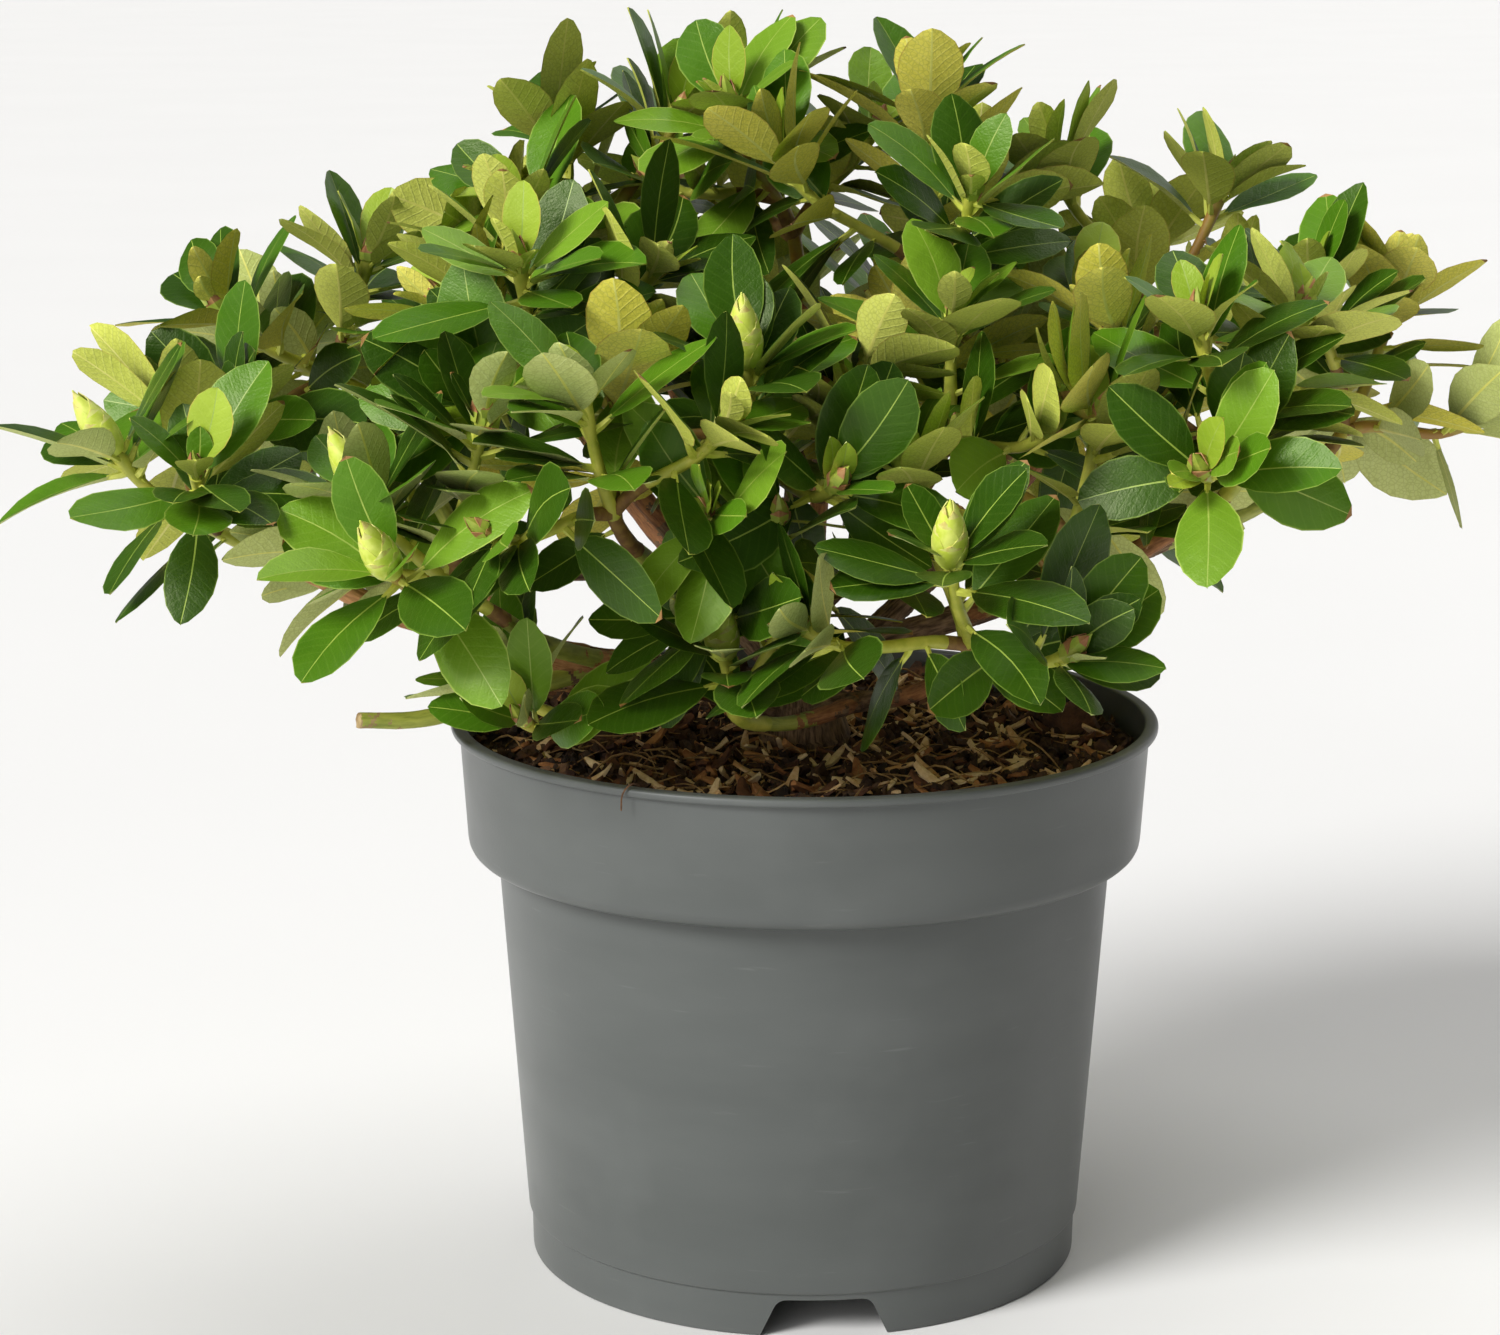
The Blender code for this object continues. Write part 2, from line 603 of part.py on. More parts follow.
def keep_largest(thing):
    """Removes the crumbs that a cut leaves beside the main body."""
    work = bmesh.new()
    work.from_mesh(thing.data)
    left, shells = set(work.verts), []
    while left:
        shell, edge = set(), [next(iter(left))]
        while edge:
            vertex = edge.pop()
            if vertex not in shell:
                shell.add(vertex)
                edge += [e.other_vert(vertex) for e in vertex.link_edges]
        left -= shell
        shells.append(shell)
    shells.sort(key=len)
    crumbs = [vertex for shell in shells[:-1] for vertex in shell]
    bmesh.ops.delete(work, geom=crumbs, context="VERTS")
    work.to_mesh(thing.data)
    work.free()


def build_limbs(limbs, material):
    """The trunk and the boughs. Each is cut to fit round the ones before it in a fork."""
    done = []
    for name, (points, radii, sides, _) in limbs.items():
        shape = tube(points, radii, sides)
        limb = make_object(name, shape, material)
        tree = BVHTree.FromPolygons(*shape)
        near = [other for other in done if tree.overlap(BVHTree.FromPolygons(*other))]
        done.append(sleeve(points, radii, sides))
        if near:
            cutters = [make_object(f"fork_{k}", other) for k, other in enumerate(near)]
            combine(limb, cutters, "DIFFERENCE")
            keep_largest(limb)
        shade_smooth(limb)


def build_foliage(crown, material):
    """Each mass as one solid: its shoots, its leaves and its flower buds, fused."""
    for name, mass in crown.items():
        shapes = [tube(s["points"], [r * SHOOT_SWELL for r in s["radii"]], SHOOT_SIDES)
                  for s in mass["shoots"]]
        shapes += [leaf_shape(leaf) for leaf in mass["leaves"]]
        shapes += [bud_shape(bud) for bud in mass["buds"]]
        parts = [make_object(f"{name}_{k}", shape) for k, shape in enumerate(shapes)]
        body = parts[0]
        body.data.materials.append(material)
        combine(body, parts[1:], "UNION")
        body.name = name
        print(name, len(mass["shoots"]), "shoots", len(mass["leaves"]), "leaves",
              len(body.data.polygons), "faces")


def main():
    clear_scene()
    build_pot(make_material("pot_plastic", (0.16, 0.165, 0.16), 0.45))
    build_soil(make_material("soil", (0.045, 0.026, 0.014), 0.95))
    limbs = grow_limbs()
    build_limbs(limbs, make_material("bark", (0.19, 0.105, 0.06), 0.85))
    crown = grow_crown(limbs)
    build_foliage(crown, make_material("leaf", (0.06, 0.17, 0.03), 0.4))


main()
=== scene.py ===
import json
import math
import random

import bmesh
import bpy
import numpy as np
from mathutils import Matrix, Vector, noise
from mathutils.bvhtree import BVHTree

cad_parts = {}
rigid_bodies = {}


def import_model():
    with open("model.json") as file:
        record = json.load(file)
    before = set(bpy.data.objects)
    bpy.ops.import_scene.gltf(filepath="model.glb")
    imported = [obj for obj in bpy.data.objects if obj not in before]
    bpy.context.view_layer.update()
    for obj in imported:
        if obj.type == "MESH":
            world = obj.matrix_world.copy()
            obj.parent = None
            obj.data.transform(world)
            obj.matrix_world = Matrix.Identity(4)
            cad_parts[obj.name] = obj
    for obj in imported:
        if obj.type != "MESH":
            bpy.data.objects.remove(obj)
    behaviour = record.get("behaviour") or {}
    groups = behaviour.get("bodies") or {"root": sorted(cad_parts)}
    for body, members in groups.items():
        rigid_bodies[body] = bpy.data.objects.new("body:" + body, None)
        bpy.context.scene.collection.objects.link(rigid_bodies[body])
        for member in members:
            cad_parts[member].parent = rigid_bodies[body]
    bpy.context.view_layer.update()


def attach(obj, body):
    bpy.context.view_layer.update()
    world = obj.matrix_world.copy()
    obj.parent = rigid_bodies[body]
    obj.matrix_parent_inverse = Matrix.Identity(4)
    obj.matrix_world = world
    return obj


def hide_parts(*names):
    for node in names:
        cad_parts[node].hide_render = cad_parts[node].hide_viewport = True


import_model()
scene = bpy.context.scene
up = Vector((0, 0, 1))


# Small tools that every piece uses

def hexColour(text):
    parts = [int(text[i:i + 2], 16) / 255 for i in (1, 3, 5)]
    return (*[p / 12.92 if p <= 0.04045 else ((p + 0.055) / 1.055) ** 2.4 for p in parts], 1.0)


def addNode(tree, kind, settings=None, values=None, links=None):
    node = tree.nodes.new(kind)
    for key, value in (settings or {}).items():
        setattr(node, key, value)
    for key, value in (values or {}).items():
        isColour = isinstance(value, str) and value.startswith("#")
        node.inputs[key].default_value = hexColour(value) if isColour else value
    for key, socket in (links or {}).items():
        tree.links.new(socket, node.inputs[key])
    return node


def softenEdges(mesh, degrees):      # smooth, but sharp where faces meet at more than this angle
    mesh.shade_smooth()
    mesh.set_sharp_from_angle(angle=math.radians(degrees))


def makePiece(name, points, faces, materials=(), kinds=None, smooth=None, outward=False):
    mesh = bpy.data.meshes.new(name)
    mesh.from_pydata([tuple(p) for p in points], [], faces)
    for material in materials:
        mesh.materials.append(material)
    if kinds is not None:
        mesh.polygons.foreach_set("material_index", np.array(kinds, np.int32))
    if outward:
        work = bmesh.new()
        work.from_mesh(mesh)
        bmesh.ops.recalc_face_normals(work, faces=work.faces)
        work.to_mesh(mesh)
        work.free()
    if smooth is not None:
        softenEdges(mesh, smooth)
    mesh.update()
    piece = bpy.data.objects.new(name, mesh)
    scene.collection.objects.link(piece)
    return piece


def addLayer(piece, name, kind, place, values):      # numbers that a material or a node tree reads
    layer = piece.data.attributes.new(name, kind, place)
    layer.data.foreach_set("vector" if kind == "FLOAT_VECTOR" else "value", values)


def readNumbers(items, key, wide=1, kind=float):
    found = np.empty(len(items) * wide, kind)
    items.foreach_get(key, found)
    return found.reshape(-1, wide) if wide > 1 else found


def groupModels(name, models):      # moves models into a collection that a modifier reads
    group = bpy.data.collections.new(name)
    scene.collection.children.link(group)
    for model in models:
        scene.collection.objects.unlink(model)
        group.objects.link(model)
    return group


def dropModels(group):
    for model in list(group.objects):
        bpy.data.objects.remove(model)
    bpy.data.collections.remove(group)


def settle(piece):      # turns what the modifiers make into a plain mesh
    graph = bpy.context.evaluated_depsgraph_get()
    result = bpy.data.meshes.new_from_object(piece.evaluated_get(graph))
    piece.modifiers.clear()
    piece.data = result
    result.name = piece.name


def declare(piece, nodes=()):
    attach(piece, "root")
    if nodes:
        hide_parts(*nodes)
    print(piece.name, sum(len(p.vertices) - 2 for p in piece.data.polygons), "triangles")


def joinShapes(shapes):
    points, faces, kinds = [], [], []
    for shape, kind in shapes:
        start = len(points)
        points += shape[0]
        faces += [tuple(start + k for k in face) for face in shape[1]]
        kinds += kind if isinstance(kind, list) else [kind] * len(shape[1])
    return points, faces, kinds


def polar(bearing, reach, height):
    angle = math.radians(bearing)
    return Vector((reach * math.cos(angle), reach * math.sin(angle), height))


def curvePoints(start, startWay, end, endWay, steps, pull=0.36):
    reach = (end - start).length * pull
    a, b = start + startWay.normalized() * reach, end - endWay.normalized() * reach
    found = []
    for i in range(steps + 1):
        t = i / steps
        u = 1 - t
        found.append(start * u**3 + a * 3 * u * u * t + b * 3 * u * t * t + end * t**3)
    return found


def atShare(points, share):
    lengths = [(b - a).length for a, b in zip(points, points[1:])]
    left = share * sum(lengths)
    for a, b, length in zip(points, points[1:], lengths):
        if left <= length:
            return a.lerp(b, left / length), (b - a).normalized()
        left -= length
    return points[-1].copy(), (points[-1] - points[-2]).normalized()


def across(way):
    side = way.cross(up)
    if side.length < 0.05:
        side = way.cross(Vector((0, 1, 0)))
    side.normalize()
    return side, side.cross(way).normalized()


def tubeShape(points, radii, sides):
    corners, faces = [], []
    side = None
    for i, point in enumerate(points):
        before, after = points[max(i - 1, 0)], points[min(i + 1, len(points) - 1)]
        way = (after - before).normalized()
        if side is None:
            side, _ = across(way)
        side = (side - way * side.dot(way)).normalized()
        other = side.cross(way)
        for k in range(sides):
            angle = 2 * math.pi * k / sides
            corners.append(point + (side * math.cos(angle) + other * math.sin(angle)) * radii[i])
    for i in range(len(points) - 1):
        for k in range(sides):
            a, b = i * sides + k, i * sides + (k + 1) % sides
            faces.append((a, a + sides, b + sides, b))
    last = (len(points) - 1) * sides
    faces.append(tuple(range(sides)))
    faces.append(tuple(last + k for k in reversed(range(sides))))
    return corners, faces


def closedGrid(rows, columns, place):      # two layers of rows and columns, closed round their rim
    points = [place(layer, r, c) for layer in (0, 1) for r in range(rows + 1)
              for c in range(columns + 1)]
    step, count = columns + 1, (rows + 1) * (columns + 1)
    quads = [(a, a + 1, a + step + 1, a + step)
             for r in range(rows) for a in range(r * step, r * step + columns)]
    faces = [face for quad in quads for face in (quad, tuple(count + k for k in reversed(quad)))]
    rim = list(range(step)) + [r * step + columns for r in range(1, rows + 1)]
    rim += [rows * step + c for c in range(columns - 1, -1, -1)]
    rim += [r * step for r in range(rows - 1, 0, -1)]
    faces += [(b, a, a + count, b + count) for a, b in zip(rim, rim[1:] + rim[:1])]
    return points, faces


def tapered(root, tip, steps):
    return [root + (tip - root) * i / steps for i in range(steps + 1)]


def smoothPath(points, spacing):      # a finer path through the same points
    ends = [points[0] * 2 - points[1]] + points + [points[-1] * 2 - points[-2]]
    found = []
    for a, b, c, d in zip(ends, ends[1:], ends[2:], ends[3:]):
        steps = max(1, round((c - b).length / spacing))
        for i in range(steps):
            t = i / steps
            found.append(0.5 * (b * 2 + (c - a) * t + (a * 2 - b * 5 + c * 4 - d) * t * t
                                + (b * 3 - a - c * 3 + d) * t**3))
    return found + [points[-1].copy()]


# Materials. Each is named for the real stuff, and its comment says what that gives the eye.
# A noise's scale is one over the real size of its patches in metres

def startMaterial(name, roughness):
    material = bpy.data.materials.new(name)
    material.use_nodes = True
    tree = material.node_tree
    shader = tree.nodes["Principled BSDF"]
    shader.inputs["Roughness"].default_value = roughness
    place = addNode(tree, "ShaderNodeTexCoord").outputs["Object"]
    return material, tree, shader, place


def wornOver(tree, base, top, pattern, low, high, most=1.0):
    # Top covers base as the pattern goes from low to high, at most by this share. Base is a hex
    # colour or what an earlier coat gave
    share = addNode(tree, "ShaderNodeMapRange", values={1: low, 2: high, 4: most}, links={0: pattern})
    values, links = {7: top}, {0: share.outputs[0]}
    (values if isinstance(base, str) else links)[6] = base
    return addNode(tree, "ShaderNodeMix", {"data_type": "RGBA"}, values, links).outputs[2]


def finishMaterial(material, colour, height, depth, strength=1.0):
    tree = material.node_tree
    shader = tree.nodes["Principled BSDF"]
    bump = addNode(tree, "ShaderNodeBump", values={"Distance": depth, "Strength": strength},
                   links={"Height": height})
    tree.links.new(colour, shader.inputs["Base Color"])
    tree.links.new(bump.outputs[0], shader.inputs["Normal"])
    return material


def mouldedPlastic():
    # Recycled polypropylene, injection moulded: a satin mid grey with faint flow marks 30 mm high,
    # a paler bloom in places, hairline scuffs, and a grain of 0.7 mm
    material, tree, shader, place = startMaterial("injection-moulded polypropylene", 0.42)
    shader.inputs["Specular IOR Level"].default_value = 0.36
    flow = addNode(tree, "ShaderNodeMapping", values={"Scale": (1 / 0.11, 1 / 0.11, 1 / 0.03)},
                   links={"Vector": place})
    marks = addNode(tree, "ShaderNodeTexNoise", values={"Scale": 1.0, "Detail": 4.0},
                    links={"Vector": flow.outputs[0]})
    bloom = addNode(tree, "ShaderNodeTexNoise", values={"Scale": 1 / 0.09, "Detail": 4.0,
                    "Roughness": 0.6}, links={"Vector": place})
    drawn = addNode(tree, "ShaderNodeMapping", values={"Scale": (1 / 0.03, 1 / 0.03, 1 / 0.0022),
                    "Rotation": (0.5, 0.3, 0.0)}, links={"Vector": place})
    scuffs = addNode(tree, "ShaderNodeTexNoise", values={"Scale": 1.0, "Detail": 5.0},
                     links={"Vector": drawn.outputs[0]})
    grain = addNode(tree, "ShaderNodeTexNoise", values={"Scale": 1 / 0.0007}, links={"Vector": place})
    colour = wornOver(tree, "#4f5250", "#585b59", marks.outputs[0], 0.35, 0.7)
    colour = wornOver(tree, colour, "#676a68", bloom.outputs[0], 0.52, 0.74, 0.35)
    colour = wornOver(tree, colour, "#757876", scuffs.outputs[0], 0.68, 0.76, 0.3)
    gloss = addNode(tree, "ShaderNodeMapRange", values={1: 0.3, 2: 0.7, 3: 0.3, 4: 0.42},
                    links={0: bloom.outputs[0]})
    tree.links.new(gloss.outputs[0], shader.inputs["Roughness"])
    return finishMaterial(material, colour, grain.outputs[0], 0.00005, 0.5)


def looseStuff(name, dark, light, patch, depth, roughness=0.95):
    # Compost, bark chips and fibres: broken, dry and matt, each patch darker where it is moist
    material, tree, _, place = startMaterial(name, roughness)
    crumbs = addNode(tree, "ShaderNodeTexNoise", values={"Scale": 1 / patch, "Detail": 6.0,
                     "Roughness": 0.7}, links={"Vector": place})
    broad = addNode(tree, "ShaderNodeTexNoise", values={"Scale": 0.2 / patch, "Detail": 2.0},
                    links={"Vector": place})
    both = addNode(tree, "ShaderNodeMath", {"operation": "ADD"}, links={
        0: crumbs.outputs[0], 1: broad.outputs[0]})
    colour = wornOver(tree, dark, light, both.outputs[0], 0.8, 1.22)
    return finishMaterial(material, colour, crumbs.outputs[0], depth)


def woodBark(name, dark, light, pitch=0.0011, roughness=0.85, depth=0.0004):
    # Bark of a woody shrub: fissures about 1 mm apart run along the limb, matt, with darker
    # patches of about 6 mm
    material, tree, _, place = startMaterial(name, roughness)
    grain = addNode(tree, "ShaderNodeAttribute", {"attribute_name": "grain"})
    drawn = addNode(tree, "ShaderNodeMapping", values={"Scale": (1 / pitch, 0.16 / pitch, 1 / pitch)},
                    links={"Vector": grain.outputs["Vector"]})
    fissures = addNode(tree, "ShaderNodeTexNoise", values={"Scale": 1.0, "Detail": 4.0,
                       "Roughness": 0.6}, links={"Vector": drawn.outputs[0]})
    patches = addNode(tree, "ShaderNodeTexNoise", values={"Scale": 1 / 0.006, "Detail": 3.0},
                      links={"Vector": place})
    colour = wornOver(tree, dark, light, fissures.outputs[0], 0.36, 0.62)
    colour = wornOver(tree, colour, dark, patches.outputs[0], 0.5, 0.7, 0.5)
    return finishMaterial(material, colour, fissures.outputs[0], depth)


def softSkin(name, base, second, roughness=0.5, patch=0.005):
    # Green bark, petioles, ribs and bud scales: smooth living skin with a slight sheen, mottled
    material, tree, _, place = startMaterial(name, roughness)
    mottle = addNode(tree, "ShaderNodeTexNoise", values={"Scale": 1 / patch, "Detail": 4.0},
                     links={"Vector": place})
    colour = wornOver(tree, base, second, mottle.outputs[0], 0.4, 0.64)
    return finishMaterial(material, colour, mottle.outputs[0], 0.00012, 0.7)


# the pattern of both sides of a leaf, with its sizes in metres
veinSpec = {"apart": 0.0036, "slant": -0.85, "sway": 0.0024, "swayPatch": 0.008, "width": 0.14,
            "mottle": 0.013, "depth": 0.0002, "net": 0.0015, "netColour": "#8a8f3a", "netShare": 0.28}

# how the two sides of a leaf differ, with the grain in metres
leafSides = {
    "upper": {"roughness": 0.38, "specular": 0.36, "grain": 0.0007, "veins": 0.07, "margin": 0.6,
              "ridge": -0.2, "puckers": 7.0},
    "underside": {"roughness": 0.7, "specular": 0.12, "grain": 0.0011, "veins": 0.16, "margin": 0.45,
                  "ridge": 0.6, "puckers": 3.0},
}


def leafSkin(side, tone, base, second, vein, edge):
    # A leathery evergreen leaf: waxy and half glossy above, matt below with a net of fine veins.
    # Faint side veins leave the midrib 3.6 mm apart and slant to the tip, and the margin is a thin
    # line of its own colour
    spec, own = veinSpec, leafSides[side]
    material, tree, shader, place = startMaterial(f"leaf {side}, {tone}", own["roughness"])
    shader.inputs["Specular IOR Level"].default_value = own["specular"]
    shader.inputs["Specular Tint"].default_value = hexColour("#eef2c8")
    blade = addNode(tree, "ShaderNodeUVMap", {"uv_map": "blade"})
    flat = addNode(tree, "ShaderNodeSeparateXYZ", links={0: blade.outputs[0]})
    stored = addNode(tree, "ShaderNodeAttribute", {"attribute_name": "bladePlace"})
    parts = addNode(tree, "ShaderNodeSeparateXYZ", links={0: stored.outputs["Vector"]})
    out = addNode(tree, "ShaderNodeMath", {"operation": "ABSOLUTE"}, links={0: flat.outputs[0]})
    slant = addNode(tree, "ShaderNodeMath", {"operation": "MULTIPLY_ADD"}, {1: spec["slant"]},
                    {0: out.outputs[0], 2: flat.outputs[1]})
    sway = addNode(tree, "ShaderNodeTexNoise", values={"Scale": 1 / spec["swayPatch"]},
                   links={"Vector": place})
    swayed = addNode(tree, "ShaderNodeMath", {"operation": "MULTIPLY_ADD"}, {1: spec["sway"]},
                     {0: sway.outputs[0], 2: slant.outputs[0]})
    spaced = addNode(tree, "ShaderNodeMath", {"operation": "DIVIDE"}, {1: spec["apart"]},
                     {0: swayed.outputs[0]})
    ridge = addNode(tree, "ShaderNodeMath", {"operation": "PINGPONG"}, {1: 0.5}, {0: spaced.outputs[0]})
    onVein = addNode(tree, "ShaderNodeMapRange", values={1: 0.0, 2: spec["width"], 3: 1.0, 4: 0.0},
                     links={0: ridge.outputs[0]})
    dots = addNode(tree, "ShaderNodeTexNoise", values={"Scale": 1 / own["grain"]},
                   links={"Vector": place})
    mottle = addNode(tree, "ShaderNodeTexNoise", values={"Scale": 1 / spec["mottle"], "Detail": 3.0},
                     links={"Vector": place})
    mixed = addNode(tree, "ShaderNodeMath", {"operation": "ADD"}, links={
        0: mottle.outputs[0], 1: parts.outputs[1]})
    colour = wornOver(tree, base, second, mixed.outputs[0], 0.55, 1.45)
    colour = wornOver(tree, colour, vein, onVein.outputs[0], 0.0, 1.0, own["veins"])
    if side == "underside":
        net = addNode(tree, "ShaderNodeTexVoronoi", {"feature": "DISTANCE_TO_EDGE"},
                      {"Scale": 1 / spec["net"]}, {"Vector": place})
        colour = wornOver(tree, colour, spec["netColour"], net.outputs[0], 0.13, 0.03, spec["netShare"])
    colour = wornOver(tree, colour, edge, parts.outputs[0], 0.94, 0.99, own["margin"])
    height = addNode(tree, "ShaderNodeMath", {"operation": "MULTIPLY_ADD"}, {1: own["ridge"]},
                     {0: onVein.outputs[0], 2: dots.outputs[0]})
    height = addNode(tree, "ShaderNodeMath", {"operation": "MULTIPLY_ADD"}, {1: own["puckers"]},
                     {0: mottle.outputs[0], 2: height.outputs[0]})      # soft leathery puckers
    return finishMaterial(material, colour, height.outputs[0], spec["depth"], 0.6)


# Growth. The limbs and masses follow the same named sizes and the same seeded rule as the solids

mm = 0.001      # the two tables below are in millimetres

limbSpec = {
    "soilLevel": 0.168, "gap": 0.0003, "lean": Vector((-0.004, 0.003, 0.0)),
    "trunk": ((0.0, 0.0145), (0.004, 0.0122), (0.010, 0.0104), (0.024, 0.0090), (0.046, 0.0076)),
    "outward": 0.6, "upward": 0.45, "sweep": 0.55, "archStart": 6, "archEnd": 5, "levelOff": 0.25,
    "steps": 5,
}

# name, carrier, share along it, tip's bearing, reach and height in mm, root and tip radius, arch
boughTable = (
    ("left", "trunk", 0.26, 201, 170, 240, 6.4, 2.7, -0.05),
    ("left_front", "left", 0.30, 223, 126, 228, 3.6, 2.5, 0.02),
    ("left_high", "left", 0.50, 174, 130, 268, 3.4, 2.5, 0.05),
    ("left_low", "left", 0.16, 224, 86, 190, 3.0, 2.3, 0.00),
    ("pruned_stub", "left", 0.36, 204, 152, 191, 3.2, 2.6, -0.12),
    ("left_mid", "trunk", 0.62, 203, 80, 284, 4.8, 2.6, 0.10),
    ("front_left", "left_mid", 0.34, 240, 104, 250, 3.4, 2.5, 0.06),
    ("crown_left", "trunk", 0.93, 152, 58, 306, 4.6, 2.6, 0.04),
    ("crown_top", "trunk", 1.00, 92, 34, 312, 4.8, 2.6, 0.03),
    ("crown_right", "crown_top", 0.35, 350, 36, 300, 3.8, 2.5, 0.05),
    ("centre_front", "trunk", 0.56, 257, 56, 256, 4.2, 2.5, 0.06),
    ("mid_front", "centre_front", 0.30, 266, 60, 222, 3.2, 2.4, 0.00),
    ("red", "trunk", 0.84, 309, 58, 262, 4.4, 2.5, 0.04),
    ("front", "trunk", 0.22, 300, 86, 208, 4.2, 2.5, 0.02),
    ("low_front", "front", 0.40, 259, 72, 192, 3.0, 2.3, 0.03),
    ("right", "trunk", 0.52, 333, 138, 258, 5.2, 2.9, -0.03),
    ("right_mid", "right", 0.42, 318, 96, 236, 3.2, 2.4, -0.02),
    ("right_far", "right", 0.78, 2, 160, 256, 3.2, 2.6, -0.02),
    ("back_right", "trunk", 0.30, 28, 108, 276, 4.8, 2.6, 0.03),
    ("back", "trunk", 0.56, 84, 84, 260, 4.8, 2.6, 0.03),
    ("back_left", "trunk", 0.36, 137, 100, 260, 4.8, 2.6, 0.03),
    ("inner_right", "back_right", 0.40, 10, 66, 262, 3.4, 2.4, 0.02),
    ("back_low_left", "back_left", 0.45, 160, 112, 222, 3.2, 2.4, 0.00),
    ("back_low_right", "back", 0.42, 50, 104, 222, 3.2, 2.4, 0.00),
)

# bough, leading tip's bearing, reach and height in mm, opening, shoots, turn, leaf spread,
# flower buds, seed
massKeys = ("bough", "bearing", "reach", "height", "opening", "count", "turn", "openness",
            "flowers", "seed")
massTable = (
    ("left", 200, 221, 276, 40, 3, 250, 86, 1, 1),
    ("left_front", 217, 167, 270, 40, 4, 62, 84, 2, 2),
    ("left_high", 176, 188, 311, 42, 4, 300, 84, 0, 3),
    ("left_low", 217, 116, 206, 36, 2, 60, 80, 0, 4),
    ("left_mid", 219, 112, 330, 44, 5, 230, 86, 0, 5),
    ("front_left", 241, 137, 298, 46, 4, 20, 84, 0, 6),
    ("crown_left", 148, 98, 362, 42, 5, 30, 86, 0, 7),
    ("crown_top", 113, 55, 380, 40, 5, 10, 86, 0, 8),
    ("crown_right", 0, 38, 375, 42, 4, 0, 54, 0, 9),
    ("centre_front", 258, 92, 306, 48, 5, 90, 84, 1, 10),
    ("mid_front", 264, 102, 262, 44, 3, 40, 84, 0, 22),
    ("red", 305, 76, 314, 48, 4, 320, 80, 0, 11),
    ("front", 287, 136, 253, 40, 4, 293, 80, 2, 12),
    ("low_front", 257, 108, 221, 40, 2, 330, 70, 1, 13),
    ("right", 322, 147, 315, 44, 5, 210, 76, 0, 14),
    ("right_mid", 318, 114, 284, 42, 3, 262, 80, 0, 15),
    ("right_far", 12, 200, 310, 40, 4, 172, 70, 0, 16),
    ("back_right", 22, 150, 342, 42, 5, 42, 70, 0, 17),
    ("inner_right", 4, 88, 312, 46, 4, 20, 84, 0, 23),
    ("back", 90, 124, 306, 46, 4, 0, 82, 1, 18),
    ("back_left", 138, 140, 308, 44, 5, 40, 82, 0, 19),
    ("back_low_left", 164, 160, 252, 40, 3, 0, 80, 1, 20),
    ("back_low_right", 44, 148, 256, 40, 3, 80, 80, 1, 21),
)

shootSpec = {
    "steps": 4, "rootRadius": 0.0026, "forkRadius": 0.86, "tipRadius": 0.0016, "knee": 0.003,
    "reach": (0.82, 1.04), "fork": (0.22, 0.42), "forkPull": 0.6, "upturn": 0.75, "wander": 0.002,
    "tries": 10, "room": 0.0005, "clearance": 0.0009, "testSides": 3,
}

# how the limbs and the pot count when a shoot or leaf looks for room
obstacleSpec = {"limbRoom": 0.0006, "trunkSides": 10, "boughSides": 6, "potSides": 40,
                "potBelowSoil": 0.02, "potTop": 0.18, "potRadii": (0.115, 0.116)}

leafSpec = {
    "onStem": (1, 2), "stemStart": 0.014, "stemStep": 0.010, "stemLean": (-14, 6),
    "stemSizes": (0.86, 1.05), "inWhorl": (5, 6), "whorlDepth": 0.011, "whorlTop": 0.0015,
    "whorlLean": (-8, 8), "closing": 34, "shrink": 0.34, "turn": 137.5, "lowest": 0.25,
    "length": (0.040, 0.051), "width": 0.47, "widths": (0.88, 1.12), "widest": 0.58,
    "pastStart": 0.25, "thickness": 0.0012, "droop": (0.03, 0.14), "fold": 0.05,
    "rootDepth": 0.0008, "toLight": 0.16, "faceUp": 0.45, "skirt": 0.25, "lift": 0.004,
    "room": 0.0004, "guardStart": 0.30, "guardThickness": 0.0028,
    "nudges": ((0, 0), (20, 0), (-20, 0), (0, -14), (36, -8), (-36, -8), (52, 6)),
}

flowerBud = {"length": 0.024, "radius": 0.0056, "sides": 5,
             "shares": (-0.12, 0.36, 0.72, 1.0), "widths": (0.34, 1.0, 0.62, 0.06)}

# added to a mass's own seed, so that each stage has its own draws
seeds = {"finer": 1000, "tones": 2000, "shoots": 3000, "buds": 4000, "inner": 5000}


def seededBy(mass, stage):
    return random.Random(seeds[stage] + mass["seed"])


def leafSolid(leaf, grow=0.0, start=0.0, thickness=leafSpec["thickness"]):
    way, top = leaf["way"], leaf["up"]
    side = way.cross(top)
    length = leaf["length"] + grow
    half = leaf["width"] / 2 + grow
    middle = leaf["root"] + way * length * max(leafSpec["widest"], start + leafSpec["pastStart"])
    root = leaf["root"] + way * (length * start - grow)
    tip = leaf["root"] + way * length - top * leaf["droop"]
    rim = middle + top * (leaf["fold"] + grow)
    keel = middle - top * (thickness + grow)
    return ([root, rim + side * half, tip, rim - side * half, keel],
            [(0, 1, 3), (1, 2, 3), (1, 0, 4), (2, 1, 4), (3, 2, 4), (0, 3, 4)])


def budSolid(bud):
    points = [bud["foot"] + bud["way"] * bud["length"] * share for share in flowerBud["shares"]]
    radii = [bud["radius"] * width for width in flowerBud["widths"]]
    return tubeShape(points, radii, flowerBud["sides"])


def ballRound(points):
    centre = sum(points, Vector()) / len(points)
    return centre, max((v - centre).length for v in points)


